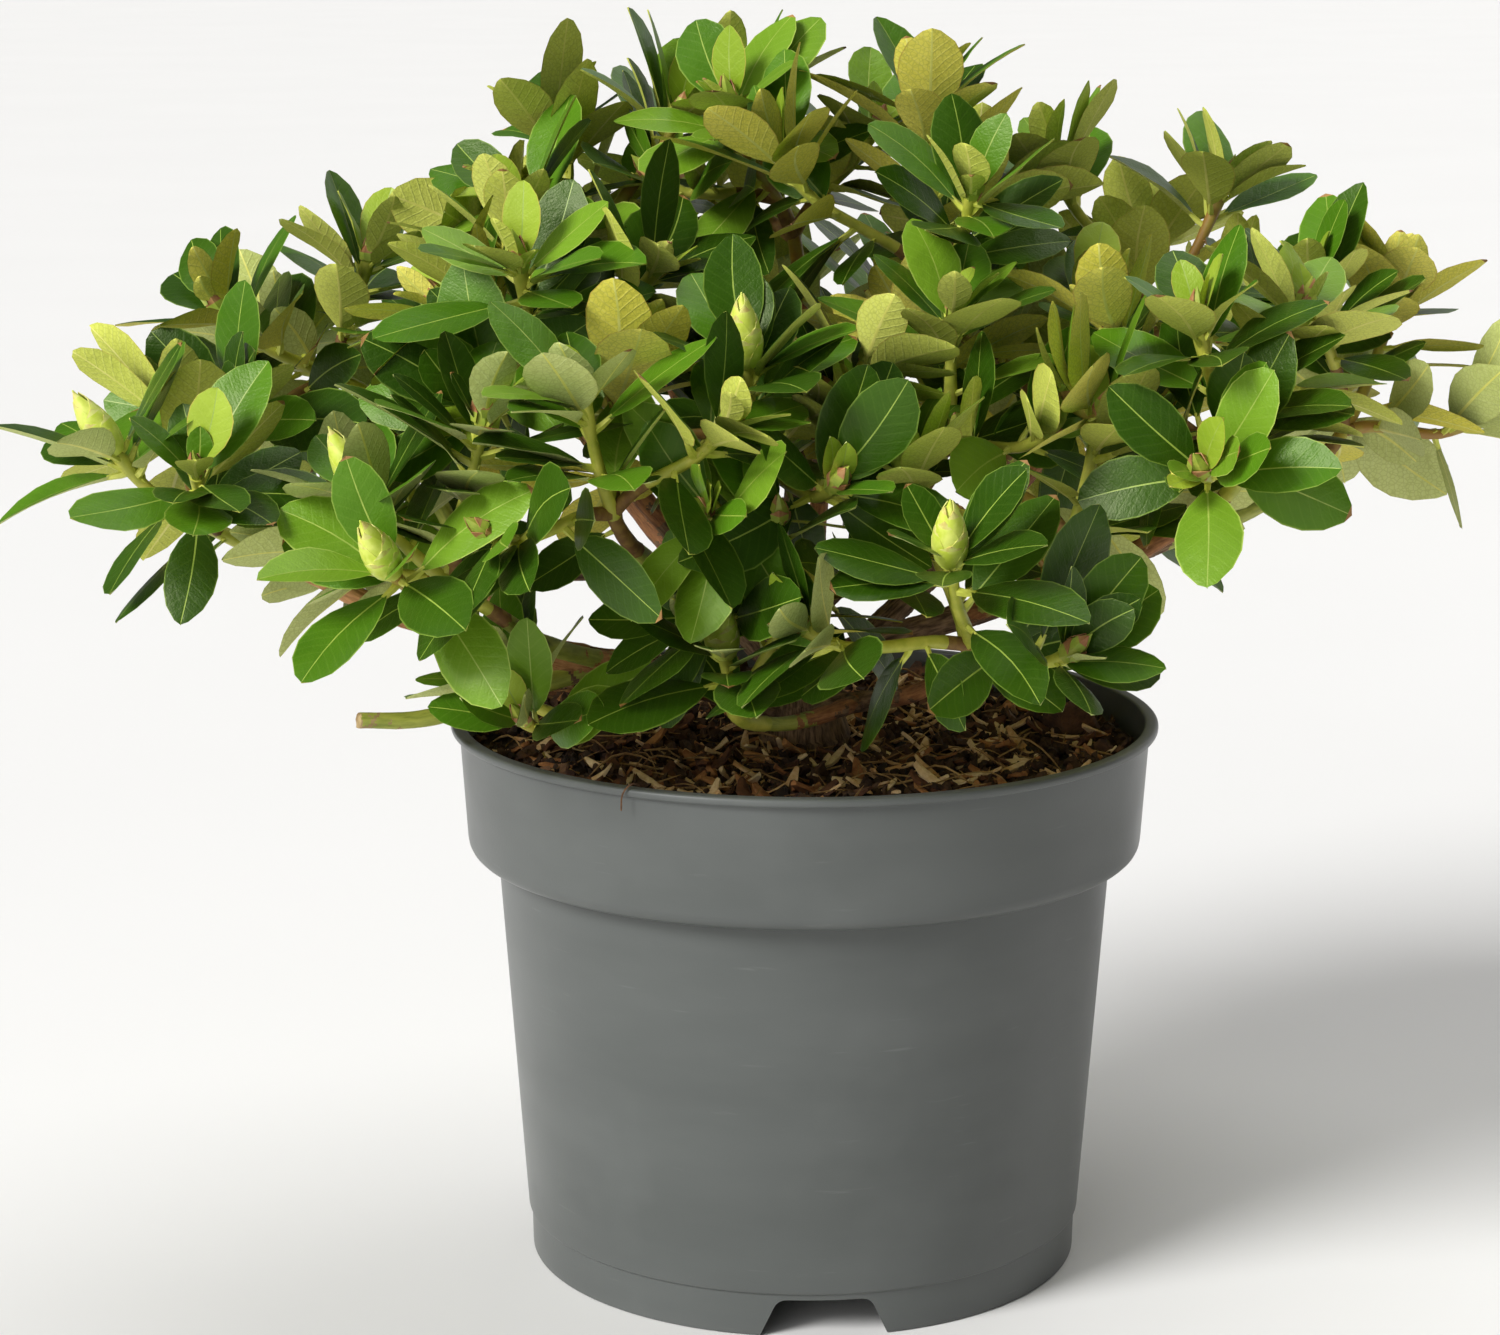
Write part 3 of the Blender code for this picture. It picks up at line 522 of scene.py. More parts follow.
class Space:      # what has grown so far, with a ball round each shape for a quick first test
    def __init__(self):
        self.things = []

    def add(self, owner, solid, guard=None):
        trees = [BVHTree.FromPolygons(*shape) if shape else None for shape in (solid, guard)]
        self.things.append((owner, *ballRound(solid[0]), *trees))

    def isFree(self, owner, solid, guard=None):
        centre, radius = ballRound(solid[0])
        tree = BVHTree.FromPolygons(*solid)
        guardTree = BVHTree.FromPolygons(*guard) if guard else None
        for other, place, size, theirTree, theirGuard in self.things:
            if (place - centre).length > size + radius:
                continue
            if other != owner and tree.overlap(theirTree):
                return False
            if guardTree and guardTree.overlap(theirGuard or theirTree):
                return False
        return True


def growLimbs():
    foot = Vector((0, 0, limbSpec["soilLevel"] + limbSpec["gap"]))
    profile = limbSpec["trunk"]
    flare, top = profile[1][0], profile[-1][0]
    points = [foot + up * h + limbSpec["lean"] * (max(h - flare, 0) / top) for h, _ in profile]
    limbs = {"trunk": (points, [r for _, r in profile])}
    for name, carrier, share, bearing, reach, height, root, tip, arch in boughTable:
        key = carrier if carrier == "trunk" else "bough_" + carrier
        start, way = atShare(limbs[key][0], share)
        end = polar(bearing, reach * mm, height * mm)
        chord = end - start
        rise = up * (arch * chord.length)
        if carrier == "trunk":
            way = Vector((chord.x, chord.y, 0)).normalized() * limbSpec["outward"]
            way.z = limbSpec["upward"]
        startWay = chord.normalized() + way * limbSpec["sweep"] + rise * limbSpec["archStart"]
        endWay = chord.normalized() - rise * limbSpec["archEnd"] + up * limbSpec["levelOff"]
        steps = limbSpec["steps"]
        limbs["bough_" + name] = (curvePoints(start, startWay, end, endWay, steps),
                                  tapered(root * mm, tip * mm, steps))
    return limbs


def growShoots(name, limb, mass, space, rng):
    spec, points = shootSpec, limb[0]
    boughWay = (points[-1] - points[-2]).normalized()
    foot = points[-1] + boughWay * limbSpec["gap"]
    axis = polar(mass["bearing"], mass["reach"] * mm, mass["height"] * mm) - foot
    length = axis.length
    axis.normalize()
    side, other = across(axis)
    shoots = []
    for i in range(mass["count"]):
        lean = math.radians(mass["opening"]) if shoots else 0.0
        angle = math.radians(mass["turn"] + leafSpec["turn"] * i)
        radial = side * math.cos(angle) + other * math.sin(angle)
        for attempt in range(spec["tries"]):
            wander = Vector([rng.uniform(-1, 1) for _ in range(3)]) * spec["wander"] * (attempt + 1)
            reach = length * (rng.uniform(*spec["reach"]) if shoots else 1.0)
            tip = foot + (axis * math.cos(lean) + radial * math.sin(lean)) * reach + wander
            if shoots:
                carrier = min(shoots, key=lambda s: (s["points"][-1] - tip).length)
                start, way = atShare(carrier["points"], rng.uniform(*spec["fork"]))
            else:
                start, way = foot, boughWay
            chord = (tip - start).normalized()
            endWay = (chord + up * spec["upturn"]).normalized()
            root = spec["rootRadius"]
            if shoots:
                path = curvePoints(start, way * spec["forkPull"] + chord, tip, endWay, spec["steps"])
                root *= spec["forkRadius"]
            else:
                knee = foot + way * spec["knee"]
                path = [foot] + curvePoints(knee, way, tip, endWay, spec["steps"])
            radii = tapered(root, spec["tipRadius"], len(path) - 1)
            wide = [r + spec["clearance"] for r in radii[1:]]
            if space.isFree(name, tubeShape(path[1:], wide, spec["testSides"])):
                space.add(name, tubeShape(path, [r + spec["room"] for r in radii], spec["testSides"]))
                shoots.append({"points": path, "radii": radii, "way": endWay, "first": not shoots})
                break
    return shoots


def makeLeaf(start, axis, turn, lean, length, rng):
    side, other = across(axis)
    radial = side * math.cos(turn) + other * math.sin(turn)
    way = axis * math.cos(lean) + radial * math.sin(lean)
    way = (way + up * leafSpec["toLight"]).normalized()
    top = axis * math.sin(lean) - radial * math.cos(lean) + up * leafSpec["faceUp"]
    top = (top - way * top.dot(way)).normalized()
    droop = length * rng.uniform(*leafSpec["droop"])
    fold = length * rng.uniform(0.0, leafSpec["fold"])
    width = length * leafSpec["width"] * rng.uniform(*leafSpec["widths"])
    return {"root": start - way * leafSpec["rootDepth"], "way": way, "up": top, "length": length,
            "width": width, "droop": droop, "fold": fold, "young": False, "old": False}


def tooLow(leaf, lift):      # under a skirt that rises outwards from the soil
    tip = leaf["root"] + leaf["way"] * leaf["length"] - leaf["up"] * leaf["droop"]
    return tip.z < limbSpec["soilLevel"] - lift + leafSpec["skirt"] * math.hypot(tip.x, tip.y)


def pathLength(points):
    return sum((b - a).length for a, b in zip(points, points[1:]))


def growLeaves(name, shoot, openness, space, rng):
    spec, leaves = leafSpec, []
    stemCount, whorlCount = rng.randint(*spec["onStem"]), rng.randint(*spec["inWhorl"])
    stemLength = pathLength(shoot["points"])
    turn = rng.uniform(0, 360)
    for i in range(stemCount + whorlCount):
        turn += spec["turn"]
        rank = (i - stemCount) / max(whorlCount - 1, 1)
        if i < stemCount:
            behind = spec["stemStart"] + spec["stemStep"] * (stemCount - i)
            lean, size = openness + rng.uniform(*spec["stemLean"]), rng.uniform(*spec["stemSizes"])
        else:
            behind = spec["whorlTop"] + spec["whorlDepth"] * (1 - rank)
            lean = openness - spec["closing"] * rank + rng.uniform(*spec["whorlLean"])
            size = 1.0 - spec["shrink"] * rank * rank
        share = 1 - behind / stemLength
        if share < spec["lowest"]:
            continue
        start, axis = atShare(shoot["points"], share)
        length = rng.uniform(*spec["length"]) * size
        for nudge, lift in spec["nudges"]:
            leaf = makeLeaf(start, axis, math.radians(turn + nudge), math.radians(lean + lift),
                            length, rng)
            if tooLow(leaf, spec["lift"]):
                continue
            solid = leafSolid(leaf, spec["room"])
            guard = leafSolid(leaf, 0.0, spec["guardStart"], spec["guardThickness"])
            if space.isFree(name, solid, guard):
                space.add(name, solid, guard)
                leaves.append(leaf)
                break
    return leaves


def growCrown(limbs):
    spec, space = obstacleSpec, Space()
    for name, (points, radii) in limbs.items():
        sides = spec["trunkSides"] if name == "trunk" else spec["boughSides"]
        space.add(name, tubeShape(points, [r + spec["limbRoom"] for r in radii], sides))
    potAxis = [up * (limbSpec["soilLevel"] - spec["potBelowSoil"]), up * spec["potTop"]]
    space.add("pot", tubeShape(potAxis, spec["potRadii"], spec["potSides"]))
    crown = {}
    for row in massTable:
        mass = dict(zip(massKeys, row))
        name = "foliage_" + mass["bough"]
        mass["rng"] = random.Random(mass["seed"])
        mass["shoots"] = growShoots(name, limbs["bough_" + mass["bough"]], mass, space, mass["rng"])
        for shoot in mass["shoots"][:mass["flowers"]]:
            bud = budSolid({"foot": shoot["points"][-1], "way": shoot["way"], **flowerBud})
            space.add(name, bud, bud)
        crown[name] = mass
    for name, mass in crown.items():
        for shoot in mass["shoots"]:
            shoot["leaves"] = growLeaves(name, shoot, mass["openness"], space, mass["rng"])
    return crown, space


# The finer growth that the solids leave out. For each kind of leaf: how many to a shoot, lean in
# degrees, length, and how far behind the tip, in metres
finerSpec = {
    "tries": 7, "lowest": 0.2, "room": 0.0002, "start": 0.16, "thickness": 0.0006, "lift": 0.002,
    "guardStart": 0.22, "guardTested": 0.0008, "guardKept": 0.0012,
    "kinds": (
        ("fill", 3, (34, 78), (0.033, 0.045), (0.001, 0.010)),
        ("young", 3, (12, 42), (0.016, 0.029), (0.0, 0.002)),
        ("low", 2, (60, 92), (0.030, 0.043), (0.020, 0.046)),
    ),
    "inner": ("low", 4, (46, 98), (0.032, 0.046), (0.012, 0.056)), "innerAbove": 0.285,
    "open": "foliage_back_right",      # the photo shows sky there
}

# small sprouts on the wood: bough, share along it, bearing and number of leaves
sproutTable = (
    ("right", 0.62, 200, 5), ("left", 0.66, 20, 4), ("crown_top", 0.5, 300, 4),
    ("back_left", 0.5, 90, 5), ("back", 0.35, 120, 5), ("back_right", 0.45, 60, 5),
)
sproutSpec = {"seed": 77, "outward": 0.5, "upward": 0.85, "step": 0.0045, "points": 4, "lean": 46,
              "length": (0.010, 0.015), "radii": [0.0011, 0.0008]}


def growKind(name, shoot, row, space, rng):
    spec = finerSpec
    kind, count, leans, lengths, behinds = row
    length = pathLength(shoot["points"])
    for _ in range(count * spec["tries"]):
        share = 1 - rng.uniform(*behinds) / length
        lean, turn = math.radians(rng.uniform(*leans)), rng.uniform(0, 2 * math.pi)
        if share < spec["lowest"]:
            continue
        start, axis = atShare(shoot["points"], share)
        leaf = makeLeaf(start, axis, turn, lean, rng.uniform(*lengths), rng)
        leaf["young"], leaf["old"] = kind == "young", kind == "low"
        solid = leafSolid(leaf, spec["room"], spec["start"], spec["thickness"])
        tested, kept = [leafSolid(leaf, 0.0, spec["guardStart"], spec[key])
                        for key in ("guardTested", "guardKept")]
        if not tooLow(leaf, spec["lift"]) and space.isFree(name, solid, tested):
            space.add(name, solid, kept)
            shoot["leaves"].append(leaf)
            count -= 1
            if count == 0:
                break


def growFiner(crown, limbs, space):
    for name, mass in crown.items():
        rng = seededBy(mass, "finer")
        for shoot in mass["shoots"]:
            for row in finerSpec["kinds"]:
                growKind(name, shoot, row, space, rng)
    for name, mass in crown.items():      # the crown's top is dense inside
        rng = seededBy(mass, "inner")
        for shoot in mass["shoots"]:
            if shoot["points"][-1].z > finerSpec["innerAbove"] and name != finerSpec["open"]:
                growKind(name, shoot, finerSpec["inner"], space, rng)
    spec = sproutSpec
    rng = random.Random(spec["seed"])
    for bough, share, bearing, count in sproutTable:
        start, _ = atShare(limbs["bough_" + bough][0], share)
        way = polar(bearing, spec["outward"], spec["upward"]).normalized()
        path = [start + way * spec["step"] * k for k in range(spec["points"])]
        leaves = [makeLeaf(path[-1], way, k * math.radians(leafSpec["turn"]),
                           math.radians(spec["lean"]), rng.uniform(*spec["length"]), rng)
                  for k in range(count)]
        for leaf in leaves:
            leaf["young"] = True
        crown["foliage_" + bough]["shoots"].append({"points": path, "radii": spec["radii"], "way": way,
                                                    "first": False, "leaves": leaves, "sprout": True})


limbs = growLimbs()
crown, space = growCrown(limbs)
growFiner(crown, limbs, space)
print("grown:", sum(len(m["shoots"]) for m in crown.values()), "shoots,",
      sum(len(s["leaves"]) for m in crown.values() for s in m["shoots"]), "leaves")


# Leaves: each a thin closed blade of 66 faces in its own outline, with a midrib on both sides

bladeSpec = {
    "rows": (0.0, 0.06, 0.18, 0.34, 0.51, 0.68, 0.84, 0.968, 1.0), "inner": 0.54,
    "petiole": 0.16, "basePower": (0.72, 0.88), "tipPower": (0.55, 0.74), "leastBase": 0.05,
    "leastTip": 0.014, "thickness": 0.0005, "midrib": 0.0003, "ribNarrows": 0.6, "ribMost": 0.24,
    "underRib": 2.0, "ribDepth": 0.0006, "ribFades": 0.6, "groove": 0.00014,
    "droopFrom": 0.3, "cup": (-0.18, 0.02), "bend": 0.045, "twist": 0.20,
    "wave": 0.0005, "waves": 8, "smooth": 60,
}

# the tones of sprays and leaves: how many of each spray, and how they change with height in metres
toneSpec = {
    # the height rule and the shift for old leaves deal deep green to low sprays and to old leaves
    # inside the crown, partly as painted shade
    "sprays": (0.36, 0.42, 0.22), "lighterUpShadedDown": 0.24, "low": 0.19, "rise": 0.20,
    "goldAbove": 0.42, "goldBlur": 0.25, "golds": (1, 1, 2), "oldAndShadedShift": -2,
    "shifts": (0.25, 0.55, 0.2), "young": 0.7, "brownTips": 0.14,
}

# deep green is dark enough to stand in for the shade inside the crown, so it is partly painted shade
upperSkins = [leafSkin("upper", *row) for row in (
    ("deep green", "#254305", "#325408", "#6f8f38", "#86a040"),
    ("mid green", "#3e670d", "#507a14", "#86a344", "#9bb24e"),
    ("fresh green", "#5b8018", "#6e9224", "#a2bb58", "#b6c662"),
    ("young green", "#809b26", "#9ab038", "#c2d273", "#bf9a52"),
)]
# the undersides are paler and brighter than the leaf's own colour, partly as painted light shining
# through the leaf
underSkins = [leafSkin("underside", *row) for row in (
    ("sage", "#bcc574", "#ccd388", "#dde2aa", "#a8a860"),
    ("olive", "#c6cc58", "#d4d86a", "#e2e69a", "#b8904c"),
    ("gold", "#ded454", "#eae06c", "#f0e8a2", "#b47a44"),
)]
ribSkins = [
    softSkin("midrib above, pale green", "#849c38", "#98ac48", 0.45),
    softSkin("midrib below, yellow green", "#d4d264", "#e2de7c", 0.5),
    softSkin("leaf tip, brown", "#86602f", "#a27a40", 0.6),
]
leafMaterials = upperSkins + underSkins + ribSkins
upperRib, underRib, brownTip = (len(upperSkins) + len(underSkins) + k for k in range(3))
youngest = len(upperSkins) - 1


def dealTones(crown):      # each spray has its own tones, and each leaf its own small bends
    spec, blade = toneSpec, bladeSpec
    for mass in crown.values():
        rng = seededBy(mass, "tones")
        for shoot in mass["shoots"]:
            height = (shoot["points"][-1].z - spec["low"]) / spec["rise"]
            # lower sprays lean to the deep green, which is partly painted shade
            lighter = spec["lighterUpShadedDown"] * (height - 0.5)      # sprays are a fresher green higher up
            weights = [w + k * lighter for w, k in zip(spec["sprays"], (-1, 0, 1))]
            spray = rng.choices((0, 1, 2), weights)[0]
            isLow = height + rng.uniform(-spec["goldBlur"], spec["goldBlur"]) < spec["goldAbove"]
            under = 0 if isLow else rng.choice(spec["golds"])
            for leaf in shoot["leaves"]:
                # old leaves, lower on the shoot and inside the crown, take deep green: partly their own
                # tone, partly painted shade
                shift = spec["oldAndShadedShift"] if leaf["old"] else rng.choices((-1, 0, 1), spec["shifts"])[0]
                isYoung = leaf["young"] and rng.random() < spec["young"]
                leaf["upper"] = youngest if isYoung else min(youngest - 1, max(0, spray + shift))
                leaf["under"] = under
                leaf["brown"] = rng.random() < spec["brownTips"]
                leaf["cup"] = rng.uniform(*blade["cup"])
                for key in ("bend", "twist"):
                    leaf[key] = rng.uniform(-blade[key], blade[key])
                leaf["wave"] = rng.uniform(0.0, blade["wave"])
                leaf["phase"] = rng.uniform(0, 2 * math.pi)
                leaf["tone"] = rng.random()
                for key in ("basePower", "tipPower"):
                    leaf[key] = rng.uniform(*blade[key])


def buildBlades(name, leaves, nodes):
    spec = bladeSpec
    s = np.array(spec["rows"])[None, :]      # share from the petiole to the tip
    rows = s.shape[1]

    def gather(key, wide=True):
        values = np.array([leaf[key] for leaf in leaves], float)
        return values[:, None] if wide and values.ndim == 1 else values

    way, top = gather("way"), gather("up")
    side = np.cross(way, top)
    length, low, high = gather("length"), gather("basePower"), gather("tipPower")
    widest = low / (low + high)
    swell = s**low * (1 - s)**high / (widest**low * (1 - widest)**high)
    swell = np.maximum(swell, np.where(s < 0.5, spec["leastBase"], spec["leastTip"]))
    half = gather("width") / 2 * swell
    rib = np.minimum(spec["midrib"] * (1 - spec["ribNarrows"] * s), half * spec["ribMost"])
    share = spec["petiole"] + (1 - spec["petiole"]) * s
    along = length * share
    drooped = np.clip((share - spec["droopFrom"]) / (1 - spec["droopFrom"]), 0, 1)
    spine = -gather("droop") * drooped**2
    bend = gather("bend") * length * np.sin(math.pi * s)
    turn = np.tan(gather("twist") * s)
    fold, cup = gather("fold"), gather("cup")
    columns = []                              # six points across the upper side, two under the rib
    for k, u in enumerate((-1.0, -spec["inner"], 0.0, 0.0, spec["inner"], 1.0, 0.0, 0.0)):
        sign, isUnder = -1.0 if k in (0, 1, 2, 6) else 1.0, k >= 6
        x = u * half if u else sign * rib * (spec["underRib"] if isUnder else 1.0)
        z = spine + fold * abs(u) * swell + cup * half * u * u + x * turn
        z = z + gather("wave") * abs(u) * np.sin(gather("phase") + sign + spec["waves"] * s) * swell
        if k in (2, 3):
            z = z - spec["groove"]
        if isUnder:
            z = z - spec["thickness"] - spec["ribDepth"] * (1 - s)**spec["ribFades"]
        columns.append(np.stack([x + bend, along, z, x, np.abs(u) + 0 * x], -1))
    local = np.stack(columns, 2)              # leaf, row, column, then x, y, z, flat x, edge
    points = gather("root")[:, None, None, :] + sum(
        local[..., k:k + 1] * frameWay[:, None, None, :] for k, frameWay in enumerate((side, way, top)))

    faces, kinds = [], []                     # kinds: 0 upper, 1 upper rib, 2 underside, 3 under rib
    for r in range(rows - 1):
        a, b = r * 8, (r + 1) * 8
        for c in range(5):
            faces.append((a + c, a + c + 1, b + c + 1, b + c))
            kinds.append(1 if c == 2 else 0)
        for c, d, kind in ((0, 6, 2), (6, 7, 3), (7, 5, 2)):
            faces.append((a + c, b + c, b + d, a + d))      # split the same way as the upper side
            kinds.append(kind)
    inTip = np.array([face[0] // 8 >= rows - 2 for face in faces] + [False, True])
    last = (rows - 1) * 8
    ends = [(5, 4, 3, 2, 1, 0, 6, 7), tuple(last + k for k in (0, 1, 2, 3, 4, 5, 7, 6))]
    kinds = np.array(kinds + [3, 1])
    starts = np.arange(len(leaves)) * rows * 8
    allFaces = [tuple(start + k for k in face) for start in starts for face in faces + ends]
    tones = np.empty((len(leaves), len(kinds)), np.int32)
    skins = (gather("upper"), upperRib, len(upperSkins) + gather("under"), underRib)
    for kind, skin in enumerate(skins):
        tones[:, kinds == kind] = skin
    tones[np.ix_(gather("brown", False) > 0, inTip)] = brownTip

    piece = makePiece(name, points.reshape(-1, 3), allFaces, leafMaterials, tones.ravel(),
                      spec["smooth"])
    corner = readNumbers(piece.data.loops, "vertex_index", kind=np.int32)
    flat = local[..., [3, 1]].reshape(-1, 2)
    layer = piece.data.uv_layers.new(name="blade")
    layer.data.foreach_set("uv", flat[corner].astype(np.float32).ravel())
    tone = np.broadcast_to(gather("tone")[:, :, None], local.shape[:3])
    place = np.stack([local[..., 4], tone, 0 * tone], -1)
    addLayer(piece, "bladePlace", "FLOAT_VECTOR", "POINT", place.astype(np.float32).ravel())
    declare(piece, nodes)


dealTones(crown)
sectors = {"leaves_left": [], "leaves_middle": [], "leaves_right": []}
leftEnds, rightStarts = -75, 60      # millimetres to the right of the stem
for name, mass in crown.items():
    east = polar(mass["bearing"], mass["reach"], 0).x
    sector = "left" if east < leftEnds else "right" if east > rightStarts else "middle"
    sectors["leaves_" + sector].append(name)
for key, names in sectors.items():
    buildBlades(key, [leaf for n in names for s in crown[n]["shoots"] for leaf in s["leaves"]], names)


# Green shoots and petioles

stemSpec = {"sides": 8, "spacing": 0.004, "rootDepth": 0.002, "woodyShare": (0.05, 0.38),
            "greenBelow": 0.20, "flushed": 0.3, "lumps": 0.10, "lumpsPerMetre": 160, "collar": 0.5,
            "petioleSides": 5, "petioleRadii": (0.0015, 0.00115, 0.0008), "typicalLeaf": 0.045,
            "petioleRoot": 0.0006, "petioleSag": 0.0004, "petioleEnd": 0.0005, "intoBlade": 0.03}

stemSkins = [
    softSkin("young shoot, yellow green", "#a2a838", "#c2c04e", 0.5, 0.006),
    softSkin("young shoot, flushed red", "#9a7432", "#a8a23c", 0.5, 0.009),
    softSkin("shoot foot, thin brown bark", "#75522e", "#8f7038", 0.75, 0.003),
    softSkin("petiole, pale yellow green", "#bcc244", "#d0d260", 0.5, 0.003),
]


def petioleShape(leaf):
    spec, root = stemSpec, leaf["root"]
    size = leaf["length"] / spec["typicalLeaf"]
    end = root + leaf["way"] * leaf["length"] * (bladeSpec["petiole"] + spec["intoBlade"])
    end -= leaf["up"] * spec["petioleEnd"]
    middle = root.lerp(end, 0.5) - leaf["up"] * spec["petioleSag"]
    points = [root - leaf["way"] * spec["petioleRoot"], middle, end]
    return tubeShape(points, [r * size for r in spec["petioleRadii"]], spec["petioleSides"])


def buildShoots():
    spec = stemSpec
    shapes = []
    for mass in crown.values():
        rng = seededBy(mass, "shoots")
        for shoot in mass["shoots"]:
            path = list(shoot["points"])
            if shoot["first"]:
                path[0] = path[0] - (path[1] - path[0]).normalized() * spec["rootDepth"]
            fine = smoothPath(path, spec["spacing"])
            steps = len(fine) - 1
            radii = []
            for i, point in enumerate(fine):
                t = i / steps
                lump = (1 + spec["lumps"] * noise.noise(point * spec["lumpsPerMetre"])
                        + spec["collar"] * max(0, t * 5 - 4))      # the last fifth swells to the bud
                radii.append((shoot["radii"][0] * (1 - t) + shoot["radii"][-1] * t) * lump)
            shape = tubeShape(fine, radii, spec["sides"])
            woody = rng.uniform(*spec["woodyShare"]) if fine[0].z > spec["greenBelow"] else 0.0
            green = 1 if rng.random() < spec["flushed"] else 0
            shapes.append((shape, [2 if k // spec["sides"] < woody * steps else green
                                   for k in range(len(shape[1]))]))
            shapes += [(petioleShape(leaf), 3) for leaf in shoot["leaves"]]
    points, faces, kinds = joinShapes(shapes)
    declare(makePiece("shoots_and_petioles", points, faces, stemSkins, kinds, 60), crown)


buildShoots()


# Buds: overlapping scales wound round a core, placed on the shoots by a tree of geometry nodes

budSpec = {
    "flower": {"length": 0.0238, "radius": 0.0050, "scales": 15, "grid": (5, 5), "lift": 0.0004,
               "coreSides": 10, "sizes": (0.94, 1.0)},
    "leafy": {"length": 0.0112, "radius": 0.0029, "scales": 5, "grid": (2, 2), "lift": 0.0003,
              "coreSides": 6, "sizes": (0.85, 1.3)},
}
sproutBud = 0.4      # the size of a sprout's bud beside the others

# how the scales lie on the core, as shares of the bud's length and radius
scaleSpec = {"core": (0, 0.12, 0.3, 0.5, 0.7, 0.86, 0.95, 1.01), "coreWidth": 0.94, "sunk": 0.06,
             "highestFoot": 0.62, "long": 0.42, "uneven": 0.06, "span": 1.25, "turn": 137.5,
             "smooth": 50}

budSkins = {
    "flower": (softSkin("flower bud scale, pale yellow green", "#c6d448", "#dfe672", 0.45, 0.004),
               softSkin("flower bud scale edge, warm", "#dcdf80", "#c8b662", 0.5, 0.003)),
    "leafy": (softSkin("leaf bud scale, green", "#94a83a", "#adb448", 0.5, 0.003),
              softSkin("leaf bud scale tip, brown pink", "#a06a42", "#bb8c5c", 0.6, 0.003)),
}


def budWidth(t):       # a pointed egg, widest two fifths up
    return math.sin(math.pi * min(1.0, 0.12 + 0.88 * t) ** 0.72) ** 0.9 if t < 1 else 0.0


def budShape(spec):
    length, radius, lift, shape = spec["length"], spec["radius"], spec["lift"], scaleSpec
    shares, sunk = shape["core"], shape["sunk"]
    core = [Vector((0, 0, length * (t - sunk))) for t in shares]
    shapes = [(tubeShape(core, [radius * shape["coreWidth"] * max(budWidth(t), 0.05) for t in shares],
                         spec["coreSides"]), 0)]
    rows, columns = spec["grid"]
    for i in range(spec["scales"]):
        low = shape["highestFoot"] * i / spec["scales"]
        high = min(1.0, low + shape["long"] + shape["uneven"] * math.sin(i * 2.1))

        def place(layer, r, c):
            s = r / rows
            t = low + (high - low) * s
            spanHalf = shape["span"] * (1 - s**2.2) ** 0.7 * (0.7 + 0.3 * min(1, s * 4)) + 0.02
            wide = radius * budWidth(t) + lift * (0.6 + 1.2 * s + 0.02 * i - layer * 0.8)
            angle = i * math.radians(shape["turn"]) + spanHalf * (2 * c / columns - 1)
            return Vector((wide * math.cos(angle), wide * math.sin(angle), length * (t - sunk)))

        scale = closedGrid(rows, columns, place)
        body = 2 * columns * (rows - 1)      # the last row and the rim have the edge's colour
        shapes.append((scale, [0] * body + [1] * (len(scale[1]) - body)))
    return joinShapes(shapes)


def startTree(name, inputs):      # a geometry tree with named inputs
    tree = bpy.data.node_groups.new(name, "GeometryNodeTree")
    for title, kind in (("Geometry", "Geometry"), *inputs):
        tree.interface.new_socket(title, in_out="INPUT", socket_type="NodeSocket" + kind)
    tree.interface.new_socket("Geometry", in_out="OUTPUT", socket_type="NodeSocketGeometry")
    return tree, addNode(tree, "NodeGroupInput").outputs


def runTree(piece, tree, **values):      # sets the inputs by their sockets' identifiers, and settles
    modifier = piece.modifiers.new(tree.name, "NODES")
    modifier.node_group = tree
    found = {item.name: item.identifier for item in tree.interface.items_tree
             if item.item_type == "SOCKET" and item.in_out == "INPUT"}
    for name, value in values.items():
        modifier[found[name]] = value
    settle(piece)


def budTree(body, edge):
    tree, given = startTree("Buds on shoots", (("Bud", "Object"), ("Size", "Float")))
    bud = addNode(tree, "GeometryNodeObjectInfo", links={"Object": given["Bud"]})
    turn, own, onEdge = [
        addNode(tree, "GeometryNodeInputNamedAttribute", {"data_type": kind}, {"Name": name})
        for kind, name in (("FLOAT_VECTOR", "turn"), ("FLOAT", "size"), ("BOOLEAN", "edge"))]
    size = addNode(tree, "ShaderNodeMath", {"operation": "MULTIPLY"}, links={
        0: own.outputs["Attribute"], 1: given["Size"]})
    placed = addNode(tree, "GeometryNodeInstanceOnPoints", links={
        "Points": given["Geometry"], "Instance": bud.outputs["Geometry"],
        "Rotation": turn.outputs["Attribute"], "Scale": size.outputs[0]})
    real = addNode(tree, "GeometryNodeRealizeInstances", links={
        "Geometry": placed.outputs["Instances"]})
    first = addNode(tree, "GeometryNodeSetMaterial", values={"Material": body},
                    links={"Geometry": real.outputs["Geometry"]})
    second = addNode(tree, "GeometryNodeSetMaterial", values={"Material": edge}, links={
        "Geometry": first.outputs["Geometry"], "Selection": onEdge.outputs["Attribute"]})
    addNode(tree, "NodeGroupOutput", links={"Geometry": second.outputs["Geometry"]})
    return tree


def buildBuds(kind, places):
    points, faces, kinds = budShape(budSpec[kind])
    model = makePiece("bud_model", points, faces, smooth=scaleSpec["smooth"])
    addLayer(model, "edge", "BOOLEAN", "FACE", [k == 1 for k in kinds])
    piece = makePiece(kind + "_buds", [foot for foot, _, _ in places], [])
    turns = [way.to_track_quat("Z", "Y").to_euler() for _, way, _ in places]
    addLayer(piece, "turn", "FLOAT_VECTOR", "POINT", [angle for turn in turns for angle in turn])
    addLayer(piece, "size", "FLOAT", "POINT", [size for _, _, size in places])
    runTree(piece, budTree(*budSkins[kind]), Bud=model, Size=1.0)
    bpy.data.objects.remove(model)
    declare(piece, crown)


